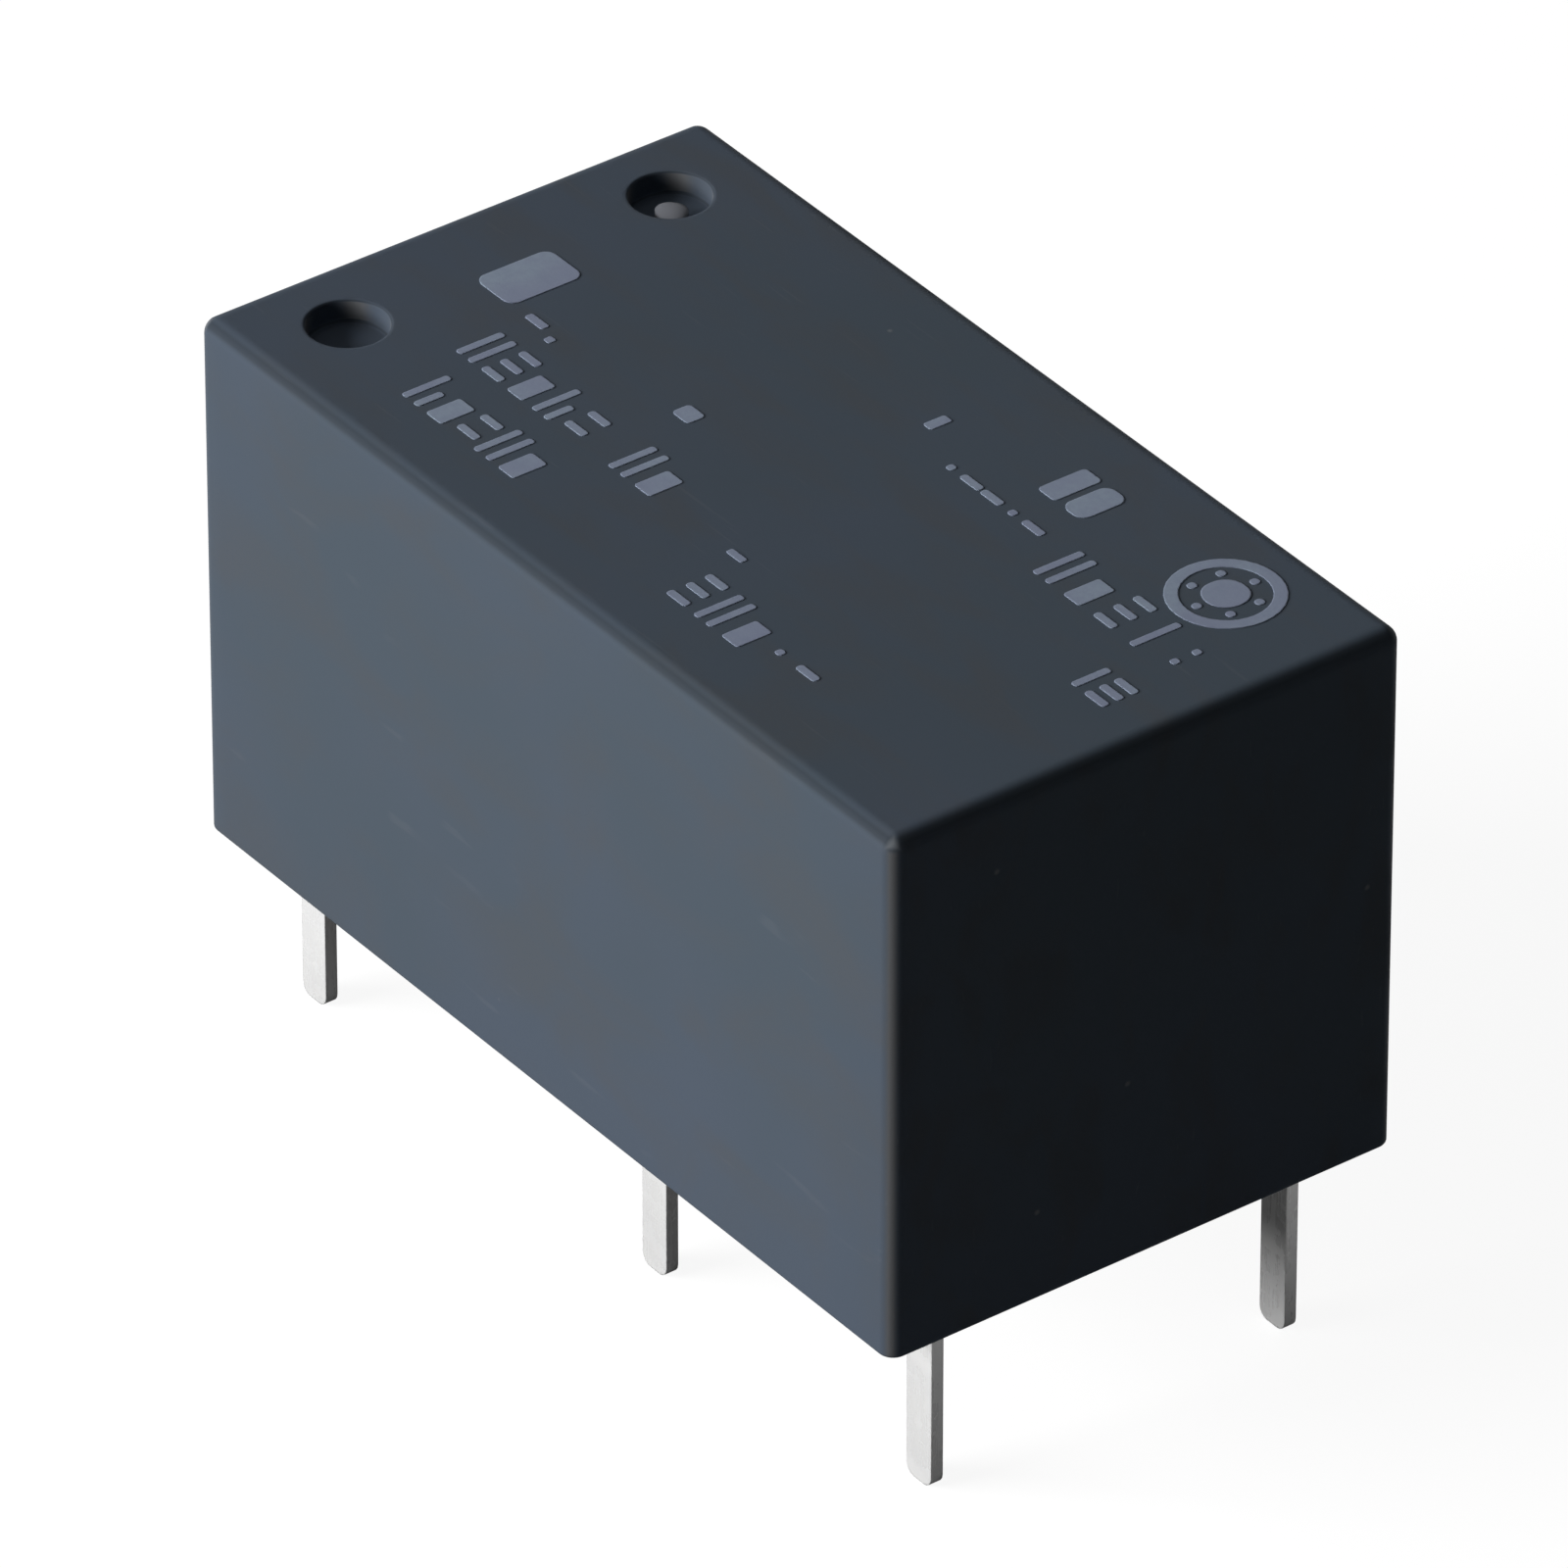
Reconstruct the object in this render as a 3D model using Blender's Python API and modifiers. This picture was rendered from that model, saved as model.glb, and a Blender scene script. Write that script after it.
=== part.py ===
# Sealed double-pole relay for printed circuits, with a lying coil: moulded case and base, magnet,
# armature, pusher card, contact springs and six stamped terminals.
# Lengths are in metres and angles in degrees. X runs along the case to the contact end, +Z is up,
# and the origin lies midway between the pins, level with their tips.
import math

import bmesh
import bpy
from mathutils import Matrix, Vector

# Case
CASE_LENGTH = 0.0200
CASE_WIDTH = 0.0108
CASE_HEIGHT = 0.01065
CASE_WALL = 0.0006
CASE_TOP = 0.00065
CASE_EDGE_RADIUS = 0.00030
CAVITY_EDGE_RADIUS = 0.00020

# Blind recesses in the top, at the coil end
RECESS_DIAMETER = 0.0015
RECESS_DEPTH = 0.00045
RECESS_FLOOR = 0.0004
RECESS_WALL = 0.00045
RECESS_FROM_END = 0.00175
RECESS_FROM_SIDE = 0.00195
NIB_DIAMETER = 0.0007
NIB_HEIGHT = 0.00028
NIB_SIDE_HEIGHT = 0.0001

# Pins. With the clearances below they stand on a 2.54 mm grid: two rows 7.62 mm apart, and in each row
# 10.16 mm from the coil's pin to the common one and 7.62 mm on to the fixed one.
PIN_LENGTH = 0.00375
PIN_WIDTH = 0.0007
PIN_TIP_RADIUS = 0.00022
COMMON_TO_FIXED = 0.00762
TERMINAL_THICKNESS = 0.00025
TERMINAL_BEND_RADIUS = 0.0001
TERMINAL_TO_SIDE_WALL = 0.000865
COIL_TERMINAL_TO_WALL = 0.00011
FIXED_BLADE_TO_WALL = 0.00008

# Base and the resin under it
BASE_RECESS = 0.0007
BASE_THICKNESS = 0.0012
RESIN_RECESS = 0.0002

# Blades, tabs and shelves of the terminals
BLADE_SHOULDER = 0.00008
FIXED_BLADE_WIDTH = 0.0016
COMMON_BLADE_WIDTH = 0.00185
SHELF_LIP = 0.000165
COIL_SHOULDER_WIDTH = 0.0008
COIL_SHOULDER_HEIGHT = 0.0006
COIL_POST_WIDTH = 0.00045
COIL_POST_HEIGHT = 0.0031

# Contact rivets
CONTACT_DIAMETER = 0.0014
CONTACT_HEIGHT = 0.00035
CONTACT_CROWN = 0.0001
CONTACT_SHANK_DIAMETER = 0.0006
CONTACT_STAKE_LIP = 0.0001
CONTACT_STAKE_HEIGHT = 0.00012
CONTACT_STAKE_CHAMFER = 0.00006
CONTACT_GAP = 0.0004

# Moving springs
SPRING_THICKNESS = 0.00012
SPRING_WIDTH = 0.0012
SPRING_NECK_WIDTH = 0.0009
SPRING_SHOULDER_LENGTH = 0.0010
SPRING_TAPER_LENGTH = 0.0020
SPRING_EYE_DIAMETER = 0.0015
SPRING_FROM_ROW = 0.00061
SPRING_UNDER_PIVOT = 0.0035

# Magnet
YOKE_HEADROOM = 0.00094
POLE_BEHIND_COMMON = 0.00021
FLANGE_THICKNESS = 0.0006
FLANGE_CORNER_RADIUS = 0.0005
BARREL_WALL = 0.00037
CORE_DIAMETER = 0.0024
CORE_TAIL_DIAMETER = 0.0017
CORE_TAIL_STAND = 0.00008
CORE_TAIL_CHAMFER = 0.00012
POLE_DIAMETER = 0.0038
POLE_THICKNESS = 0.0007
POLE_CHAMFER = 0.00008
WINDING_INSET = 0.0003
TAPE_THICKNESS = 0.00008
WIRE_DIAMETER = 0.00012
WIRE_TURNS = 4
WIRE_TURN_PITCH = 0.00015
LEAD_FROM_ROW = 0.0002
LEAD_NOTCH_HEIGHT = 0.0006
LEAD_NOTCH_MARGIN = 0.0002
YOKE_THICKNESS = 0.0009
YOKE_FROM_ROW = 0.00061
YOKE_END_GAP = 0.0002
YOKE_OUTER_RADIUS = 0.0006
YOKE_INNER_RADIUS = 0.00005

# Armature and the card that it carries
ARMATURE_THICKNESS = 0.0008
ARMATURE_TRAVEL = 3.2
RESIDUAL_GAP = 0.00004
LEG_TO_SHELF = 0.000435
LEG_CORNER_RADIUS = 0.00025
SHOULDER_WIDTH = 0.0052
SHOULDER_HEIGHT = 0.0014
KNEE_INNER_RADIUS = 0.0001
ARM_WIDTH = 0.0028
TONGUE_WIDTH = 0.0018
TONGUE_PROUD = 0.0003
CARD_POSITION = 0.0041
CARD_THICKNESS = 0.0008
CARD_BEAM_DEPTH = 0.0011
CARD_OVERHANG = 0.0007
CARD_ROOF = 0.0003
CARD_CHEEK = 0.0003
CARD_CORNER_RADIUS = 0.00025
CARD_FOOT_WIDTH = 0.0010
CARD_FOOT_RADIUS = 0.00025

# Leaf that holds the armature on the yoke's tip
HINGE_LEAF_THICKNESS = 0.0001
HINGE_LEAF_LENGTH = 0.0038
HINGE_TAIL_WIDTH = 0.0030
HINGE_FORK_WIDTH = 0.0048
HINGE_FORK_ROOT = 0.0013
HINGE_BEND_SETBACK = 0.0003
HINGE_PRONG_LENGTH = 0.0013
HINGE_TOE_LENGTH = 0.0002
HINGE_TOE_LIFT = 0.00009
STUD_DIAMETER = 0.0007
STUD_HEAD_DIAMETER = 0.0010
STUD_HEAD_HEIGHT = 0.00012
STUD_HEAD_CHAMFER = 0.00006
STUD_SPACING = 0.0016
STUD_FROM_LEAF_END = 0.0012

# Walls and posts moulded on the base
BARRIER_THICKNESS = 0.0006
BARRIER_END_GAP = 0.0003
BARRIER_UNDER_CARD = 0.0009
CROSS_WALL_THICKNESS = 0.0003
CROSS_WALL_STANDOFF = 0.0003
CROSS_WALL_TO_SPRING = 0.0004
PILLAR_THICKNESS = 0.00055
PILLAR_TO_BLADE = 0.00006
PILLAR_TO_SHELF = 0.00015
COIL_GUIDE_THICKNESS = 0.0005
COIL_GUIDE_HEIGHT = 0.0018
COIL_GUIDE_TO_WALL = 0.00027
COIL_STOP_THICKNESS = 0.0004
COIL_STOP_WIDTH = 0.0008
COIL_STOP_HEIGHT = 0.0007
COIL_STOP_TO_POLE = 0.0003

# Facets and shading
SMOOTH_ANGLE = 30
CORNER_STEPS = 4
ROUND_STEPS = 32
SMALL_ROUND_STEPS = 20
LARGE_ROUND_STEPS = 48
WIRE_STEPS = 12
FILL_SCALE = 1000
CAP_WELD = 1e-8
SPIN_WELD = 1e-7

# Clearances
SEAT_GAP = 0.00003
CONTACT_RESERVE = 0.00002
CUT_MARGIN = 0.0002

# Levels and stations worked out from the sizes above
SEAT_Z = PIN_LENGTH
TOP_Z = SEAT_Z + CASE_HEIGHT
CEILING_Z = TOP_Z - CASE_TOP
BASE_UNDERSIDE_Z = SEAT_Z + BASE_RECESS
FLOOR_Z = BASE_UNDERSIDE_Z + BASE_THICKNESS
CAVITY_X = CASE_LENGTH / 2 - CASE_WALL
CAVITY_Y = CASE_WIDTH / 2 - CASE_WALL

ROW_Y = CAVITY_Y - TERMINAL_TO_SIDE_WALL - TERMINAL_THICKNESS / 2
COIL_PIN_X = -CAVITY_X + COIL_TERMINAL_TO_WALL + COIL_SHOULDER_WIDTH / 2
FIXED_PIN_X = CAVITY_X - FIXED_BLADE_TO_WALL - BLADE_SHOULDER - PIN_WIDTH / 2
COMMON_PIN_X = FIXED_PIN_X - COMMON_TO_FIXED

POLE_FACE_X = COMMON_PIN_X - POLE_BEHIND_COMMON
BOBBIN_FRONT_X = POLE_FACE_X - POLE_THICKNESS - SEAT_GAP
YOKE_REAR_X = -CAVITY_X + YOKE_END_GAP
BOBBIN_REAR_X = YOKE_REAR_X + YOKE_THICKNESS + SEAT_GAP
YOKE_TOP_Z = CEILING_Z - YOKE_HEADROOM
YOKE_WIDTH = 2 * (ROW_Y - YOKE_FROM_ROW)
FLANGE_HEIGHT = YOKE_TOP_Z - YOKE_THICKNESS - FLOOR_Z - 2 * SEAT_GAP
FLANGE_WIDTH = 2 * (CAVITY_Y - COIL_GUIDE_TO_WALL - COIL_GUIDE_THICKNESS - SEAT_GAP)
COIL_AXIS_Z = FLOOR_Z + SEAT_GAP + FLANGE_HEIGHT / 2
WINDING_DIAMETER = FLANGE_HEIGHT - 2 * WINDING_INSET
BARREL_DIAMETER = CORE_DIAMETER + 2 * (SEAT_GAP + BARREL_WALL)
LEAD_Z = FLOOR_Z + COIL_POST_HEIGHT - 2 * WIRE_DIAMETER
LEAD_START_Y = WINDING_DIAMETER / 2 + SEAT_GAP + TAPE_THICKNESS + SEAT_GAP + WIRE_DIAMETER / 2
LEAD_EXIT_Y = ROW_Y - LEAD_FROM_ROW
PIVOT = Vector((POLE_FACE_X, 0, YOKE_TOP_Z))

SPRING_OFFSET = ROW_Y - SPRING_FROM_ROW
SPRING_Z = PIVOT.z - SPRING_UNDER_PIVOT
FIXED_SHELF_Z = SPRING_Z - 2 * (SEAT_GAP + CONTACT_HEIGHT) - CONTACT_GAP
COMMON_TAB_Z = SPRING_Z - SEAT_GAP
SHELF_END_Y = SPRING_OFFSET - CONTACT_DIAMETER / 2 - SHELF_LIP
COMMON_BLADE_X = COMMON_PIN_X - PIN_WIDTH / 2 - BLADE_SHOULDER
SPRING_ROOT_X = COMMON_BLADE_X + COMMON_BLADE_WIDTH
FIXED_BLADE_X = FIXED_PIN_X + PIN_WIDTH / 2 + BLADE_SHOULDER - FIXED_BLADE_WIDTH
CONTACT_X = FIXED_BLADE_X + FIXED_BLADE_WIDTH / 2
SPRING_TRAVEL = math.degrees(math.asin((CONTACT_GAP - CONTACT_RESERVE) / (CONTACT_X - SPRING_ROOT_X)))
LEG_WIDTH = 2 * (SHELF_END_Y - LEG_TO_SHELF)
CARD_BEAM_Z = PIVOT.z - ARMATURE_THICKNESS - SEAT_GAP - CARD_BEAM_DEPTH
BARRIER_TOP_Z = CARD_BEAM_Z - BARRIER_UNDER_CARD

SIDES = ((1, "left"), (-1, "right"))

parts = None
cutters = None


def clear_scene():
    for obj in list(bpy.data.objects):
        bpy.data.objects.remove(obj)


def new_collection(name):
    collection = bpy.data.collections.new(name)
    bpy.context.scene.collection.children.link(collection)
    return collection


def material(name, colour, roughness, metallic=0.0):
    mat = bpy.data.materials.new(name)
    mat.use_nodes = True
    shader = mat.node_tree.nodes["Principled BSDF"]
    shader.inputs["Base Color"].default_value = (*colour, 1.0)
    shader.inputs["Roughness"].default_value = roughness
    shader.inputs["Metallic"].default_value = metallic
    return mat


def add_object(name, mesh, mat, parent=None):
    obj = bpy.data.objects.new(name, mesh)
    if mat:
        mesh.materials.clear()
        mesh.materials.append(mat)
        parts.objects.link(obj)
    else:
        cutters.objects.link(obj)
        obj.hide_render = True
        obj.display_type = "WIRE"
    obj.parent = parent
    return obj


def mesh_from(bm, name):
    bmesh.ops.recalc_face_normals(bm, faces=bm.faces)
    mesh = bpy.data.meshes.new(name)
    bm.to_mesh(mesh)
    bm.free()
    shade(mesh)
    return mesh


def shade(mesh):
    mesh.shade_smooth()
    mesh.set_sharp_from_angle(angle=math.radians(SMOOTH_ANGLE))


def box(name, low, high, mat=None, radius=0.0):
    """A block between two corners. With a radius, all its edges but the bottom ones are rounded."""
    bm = bmesh.new()
    bmesh.ops.create_cube(bm, size=1.0)
    size = Vector(high) - Vector(low)
    bmesh.ops.scale(bm, vec=size, verts=bm.verts)
    bmesh.ops.translate(bm, vec=(Vector(low) + Vector(high)) / 2, verts=bm.verts)
    if radius:
        middle_z = low[2] + size.z / 2
        edges = [e for e in bm.edges if max(v.co.z for v in e.verts) > middle_z]
        bmesh.ops.bevel(bm, geom=edges, offset=radius, segments=CORNER_STEPS, profile=0.5, affect="EDGES")
    return add_object(name, mesh_from(bm, name), mat)


def cylinder(name, radius, start, end, segments=ROUND_STEPS):
    """A round bar from one point to another, as a tool for cutting or joining."""
    axis = Vector(end) - Vector(start)
    bm = bmesh.new()
    bmesh.ops.create_cone(bm, cap_ends=True, segments=segments, radius1=radius, radius2=radius,
                          depth=axis.length)
    middle = Matrix.Translation((Vector(start) + Vector(end)) / 2)
    turn = axis.to_track_quat("Z", "Y").to_matrix().to_4x4()
    bmesh.ops.transform(bm, matrix=middle @ turn, verts=bm.verts)
    return add_object(name, mesh_from(bm, name), None)


# Each plane turns an outline's own x, y and depth into the model's axes.
PLANES = {
    "XY": Matrix(((1, 0, 0), (0, 1, 0), (0, 0, 1))).to_4x4(),
    "XZ": Matrix(((1, 0, 0), (0, 0, -1), (0, 1, 0))).to_4x4(),
    "YZ": Matrix(((0, 0, 1), (1, 0, 0), (0, 1, 0))).to_4x4(),
}


def prism(name, outlines, low, high, plane, mat=None, parent=None):
    """A flat outline, with holes where more outlines lie inside it, thickened from low to high.
    It is filled much larger than it is, which keeps fine corners apart, and then reduced."""
    curve = bpy.data.curves.new(name, "CURVE")
    curve.dimensions = "2D"
    curve.fill_mode = "BOTH"
    curve.extrude = (high - low) / 2 * FILL_SCALE
    for points in outlines:
        spline = curve.splines.new("POLY")
        spline.points.add(len(points) - 1)
        for point, (x, y) in zip(spline.points, points):
            point.co = (x * FILL_SCALE, y * FILL_SCALE, 0, 1)
        spline.use_cyclic_u = True
    drawn = bpy.data.objects.new(name, curve)
    bpy.context.scene.collection.objects.link(drawn)
    graph = bpy.context.evaluated_depsgraph_get()
    outline_mesh = bpy.data.meshes.new_from_object(drawn.evaluated_get(graph))
    bpy.data.objects.remove(drawn)
    bm = bmesh.new()
    bm.from_mesh(outline_mesh)
    bpy.data.meshes.remove(outline_mesh)
    bmesh.ops.remove_doubles(bm, verts=bm.verts, dist=CAP_WELD * FILL_SCALE)
    middle = (low + high) / 2
    if plane == "XZ":
        middle = -middle
    reduced = Matrix.Diagonal((1 / FILL_SCALE, 1 / FILL_SCALE, 1 / FILL_SCALE, 1))
    lifted = Matrix.Translation((0, 0, middle))
    bmesh.ops.transform(bm, matrix=PLANES[plane] @ lifted @ reduced, verts=bm.verts)
    return add_object(name, mesh_from(bm, name), mat, parent)


def turned(name, profile, mat=None, parent=None, steps=ROUND_STEPS):
    """A profile of (radius, height) pairs, from its top to its foot, spun round the object's Z axis."""
    mesh = bpy.data.meshes.new(name)
    points = [(radius, 0, height) for radius, height in profile]
    mesh.from_pydata(points, [(i, i + 1) for i in range(len(points) - 1)], [])
    obj = add_object(name, mesh, mat, parent)
    screw = obj.modifiers.new("Spin", "SCREW")
    screw.axis = "Z"
    screw.steps = steps
    screw.render_steps = steps
    screw.use_merge_vertices = True
    screw.merge_threshold = SPIN_WELD
    screw.use_smooth_shade = True
    return obj


def boolean(target, tool, operation):
    modifier = target.modifiers.new(tool.name, "BOOLEAN")
    modifier.object = tool
    modifier.operation = operation
    modifier.solver = "EXACT"


def settle(obj):
    """Turn an object's modifiers into a plain mesh, so that its round faces can be shaded smooth."""
    graph = bpy.context.evaluated_depsgraph_get()
    mesh = bpy.data.meshes.new_from_object(obj.evaluated_get(graph))
    obj.modifiers.clear()
    obj.data = mesh
    shade(mesh)


def arc(centre_x, centre_y, radius, start, end, steps=CORNER_STEPS):
    """Points on an arc, both ends included."""
    turns = [math.radians(start + (end - start) * i / steps) for i in range(steps + 1)]
    return [(centre_x + radius * math.cos(a), centre_y + radius * math.sin(a)) for a in turns]


def rectangle(x0, x1, y0, y1):
    return [(x0, y0), (x1, y0), (x1, y1), (x0, y1)]


def rounded_rectangle(x0, x1, y0, y1, radius):
    return (
        arc(x1 - radius, y1 - radius, radius, 0, 90)
        + arc(x0 + radius, y1 - radius, radius, 90, 180)
        + arc(x0 + radius, y0 + radius, radius, 180, 270)
        + arc(x1 - radius, y0 + radius, radius, 270, 360)
    )


def circle(x, y, radius, steps):
    return arc(x, y, radius, 0, 360, steps)[:-1]


def sheet(path, thickness):
    """The outline of a bent sheet: a path and its copy at one thickness to the path's left."""
    shifted = []
    for i, point in enumerate(path):
        here = Vector(point)
        before = (here - Vector(path[i - 1])).normalized() if i else None
        after = (Vector(path[i + 1]) - here).normalized() if i + 1 < len(path) else None
        before = before or after
        after = after or before
        normal = Vector((-before.y - after.y, before.x + after.x)).normalized()
        stretch = thickness / normal.dot(Vector((-after.y, after.x)))
        shifted.append(tuple(here + normal * stretch))
    return list(path) + shifted[::-1]


def pin_positions():
    return [(x, side * ROW_Y) for x in (COIL_PIN_X, COMMON_PIN_X, FIXED_PIN_X) for side in (-1, 1)]


def pin_slots():
    half_width = PIN_WIDTH / 2 + SEAT_GAP
    half_depth = TERMINAL_THICKNESS / 2 + SEAT_GAP
    slots = []
    for x, y in pin_positions():
        slots.append(rectangle(x - half_width, x + half_width, y - half_depth, y + half_depth))
    return slots


def floor_outline():
    """The outline of what fills the case's open underside."""
    reach_x = CAVITY_X - SEAT_GAP
    reach_y = CAVITY_Y - SEAT_GAP
    return rounded_rectangle(-reach_x, reach_x, -reach_y, reach_y, CAVITY_EDGE_RADIUS)


def across(side, inner, outer):
    """The two limits of a span on one side of the part, the lower one first."""
    return sorted((side * inner, side * outer))


def pin_foot(x):
    """The lower end of a pin, tip first, from its left side round to its right."""
    left = x - PIN_WIDTH / 2
    right = x + PIN_WIDTH / 2
    radius = PIN_TIP_RADIUS
    return arc(left + radius, radius, radius, 180, 270) + arc(right - radius, radius, radius, 270, 360)


def make_case(mat):
    """One moulding: walls and top, a pot round each recess, and the sealed nib in one of them."""
    half_x = CASE_LENGTH / 2
    half_y = CASE_WIDTH / 2
    case = box("case", (-half_x, -half_y, SEAT_Z), (half_x, half_y, TOP_Z), mat, CASE_EDGE_RADIUS)
    cavity = box("case_cavity", (-CAVITY_X, -CAVITY_Y, SEAT_Z - CUT_MARGIN),
                 (CAVITY_X, CAVITY_Y, CEILING_Z), radius=CAVITY_EDGE_RADIUS)
    boolean(case, cavity, "DIFFERENCE")
    recess_x = -half_x + RECESS_FROM_END
    recess_y = half_y - RECESS_FROM_SIDE
    recess_z = TOP_Z - RECESS_DEPTH
    for side, tag in SIDES:
        spot = (recess_x, side * recess_y)
        pot = cylinder(f"recess_pot_{tag}", RECESS_DIAMETER / 2 + RECESS_WALL,
                       (*spot, recess_z - RECESS_FLOOR), (*spot, CEILING_Z + CUT_MARGIN))
        boolean(case, pot, "UNION")
        bore = cylinder(f"recess_{tag}", RECESS_DIAMETER / 2, (*spot, recess_z), (*spot, TOP_Z + CUT_MARGIN))
        boolean(case, bore, "DIFFERENCE")
    radius = NIB_DIAMETER / 2
    rise = NIB_HEIGHT - NIB_SIDE_HEIGHT
    dome = [(x, NIB_SIDE_HEIGHT + rise * y / radius) for x, y in arc(0, 0, radius, 90, 0)]
    nib = turned("vent_nib", dome + [(radius, -CUT_MARGIN), (0, -CUT_MARGIN)], steps=SMALL_ROUND_STEPS)
    nib.location = (recess_x, recess_y, recess_z)
    boolean(case, nib, "UNION")
    return case


def make_base(mat):
    """The moulded floor with slots for the pins, the partition between the contacts, and the posts that
    stand by the coil and the blades."""
    base = prism("base", [floor_outline()] + pin_slots(), BASE_UNDERSIDE_Z, FLOOR_Z, "XY", mat)
    root_z = FLOOR_Z - CUT_MARGIN
    wall_x = SPRING_ROOT_X + CROSS_WALL_STANDOFF
    wall_y = SPRING_OFFSET - SPRING_WIDTH / 2 - CROSS_WALL_TO_SPRING
    back_x = wall_x + CROSS_WALL_THICKNESS
    end_x = CAVITY_X - BARRIER_END_GAP
    barrier_y = BARRIER_THICKNESS / 2
    outline = [
        (wall_x, -wall_y), (back_x, -wall_y), (back_x, -barrier_y), (end_x, -barrier_y),
        (end_x, barrier_y), (back_x, barrier_y), (back_x, wall_y), (wall_x, wall_y),
    ]
    boolean(base, prism("partition", [outline], root_z, BARRIER_TOP_Z, "XY"), "UNION")
    blocks = {}
    blade_y = ROW_Y - TERMINAL_THICKNESS / 2 - PILLAR_TO_BLADE
    stake_z = FIXED_SHELF_Z - TERMINAL_THICKNESS - 2 * SEAT_GAP - CONTACT_STAKE_HEIGHT
    fixed_top = stake_z - PILLAR_TO_SHELF
    common_top = COMMON_TAB_Z - TERMINAL_THICKNESS - PILLAR_TO_SHELF
    pillars = {
        "fixed": (FIXED_BLADE_X, FIXED_BLADE_X + FIXED_BLADE_WIDTH, fixed_top),
        "common": (COMMON_BLADE_X, SPRING_ROOT_X, common_top),
    }
    guides = {"rear": BOBBIN_REAR_X, "front": BOBBIN_FRONT_X - FLANGE_THICKNESS}
    flange_y = FLANGE_WIDTH / 2 + SEAT_GAP
    stop_x = BOBBIN_FRONT_X + SEAT_GAP
    stop_y = POLE_DIAMETER / 2 + COIL_STOP_TO_POLE
    for side, tag in SIDES:
        low_y, high_y = across(side, blade_y - PILLAR_THICKNESS, blade_y)
        for name, (low_x, high_x, top_z) in pillars.items():
            blocks[f"{name}_pillar_{tag}"] = ((low_x, low_y, root_z), (high_x, high_y, top_z))
        low_y, high_y = across(side, flange_y, flange_y + COIL_GUIDE_THICKNESS)
        for name, x in guides.items():
            blocks[f"{name}_coil_guide_{tag}"] = (
                (x, low_y, root_z), (x + FLANGE_THICKNESS, high_y, FLOOR_Z + COIL_GUIDE_HEIGHT))
        low_y, high_y = across(side, stop_y, stop_y + COIL_STOP_WIDTH)
        blocks[f"coil_stop_{tag}"] = (
            (stop_x, low_y, root_z), (stop_x + COIL_STOP_THICKNESS, high_y, FLOOR_Z + COIL_STOP_HEIGHT))
    for name, (low, high) in blocks.items():
        boolean(base, box(name, low, high), "UNION")
    return base


def make_resin(mat):
    """The cast sheet that fills the underside round the pins."""
    return prism("sealing_resin", [floor_outline()] + pin_slots(), SEAT_Z + RESIN_RECESS,
                 BASE_UNDERSIDE_Z - SEAT_GAP, "XY", mat)


def make_folded_terminal(name, side, pin_x, blade_x, blade_width, top_z, rivet_hole, mat):
    """A pin, its blade and the shelf folded in at the top, stamped from one sheet."""
    outer_radius = TERMINAL_BEND_RADIUS + TERMINAL_THICKNESS
    inner_y = ROW_Y - TERMINAL_THICKNESS / 2
    outer_y = ROW_Y + TERMINAL_THICKNESS / 2
    section = (
        [(inner_y, -CUT_MARGIN), (outer_y, -CUT_MARGIN)]
        + arc(outer_y - outer_radius, top_z - outer_radius, outer_radius, 0, 90)
        + [(SHELF_END_Y, top_z), (SHELF_END_Y, top_z - TERMINAL_THICKNESS)]
        + arc(inner_y - TERMINAL_BEND_RADIUS, top_z - outer_radius, TERMINAL_BEND_RADIUS, 90, 0)
    )
    section = [(side * y, z) for y, z in section]
    left = blade_x
    right = blade_x + blade_width
    terminal = prism(name, [section], left - CUT_MARGIN, right + CUT_MARGIN, "YZ", mat)
    shoulder_z = FLOOR_Z + SEAT_GAP
    blank = (
        pin_foot(pin_x)
        + [(pin_x + PIN_WIDTH / 2, shoulder_z), (right, shoulder_z), (right, top_z + CUT_MARGIN)]
        + [(left, top_z + CUT_MARGIN), (left, shoulder_z), (pin_x - PIN_WIDTH / 2, shoulder_z)]
    )
    low_y, high_y = across(side, SHELF_END_Y - CUT_MARGIN, outer_y + CUT_MARGIN)
    stencil = prism(f"{name}_blank", [blank], low_y, high_y, "XZ")
    boolean(terminal, stencil, "INTERSECT")
    if rivet_hole:
        spot = (CONTACT_X, side * SPRING_OFFSET)
        hole = cylinder(f"{name}_hole", CONTACT_SHANK_DIAMETER / 2 + SEAT_GAP,
                        (*spot, top_z - TERMINAL_THICKNESS - CUT_MARGIN), (*spot, top_z + CUT_MARGIN),
                        SMALL_ROUND_STEPS)
        boolean(terminal, hole, "DIFFERENCE")
    return terminal


def make_coil_terminal(name, side, mat):
    """A pin with shoulders on the base and a post that the winding's end is wrapped on."""
    shoulder_z = FLOOR_Z + SEAT_GAP
    neck_z = shoulder_z + COIL_SHOULDER_HEIGHT
    top_z = FLOOR_Z + COIL_POST_HEIGHT
    half_pin = PIN_WIDTH / 2
    half_shoulder = COIL_SHOULDER_WIDTH / 2
    half_post = COIL_POST_WIDTH / 2
    x = COIL_PIN_X
    outline = (
        pin_foot(x)
        + [(x + half_pin, shoulder_z), (x + half_shoulder, shoulder_z), (x + half_shoulder, neck_z)]
        + [(x + half_post, neck_z), (x + half_post, top_z), (x - half_post, top_z), (x - half_post, neck_z)]
        + [(x - half_shoulder, neck_z), (x - half_shoulder, shoulder_z), (x - half_pin, shoulder_z)]
    )
    y = side * ROW_Y
    return prism(name, [outline], y - TERMINAL_THICKNESS / 2, y + TERMINAL_THICKNESS / 2, "XZ", mat)


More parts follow.
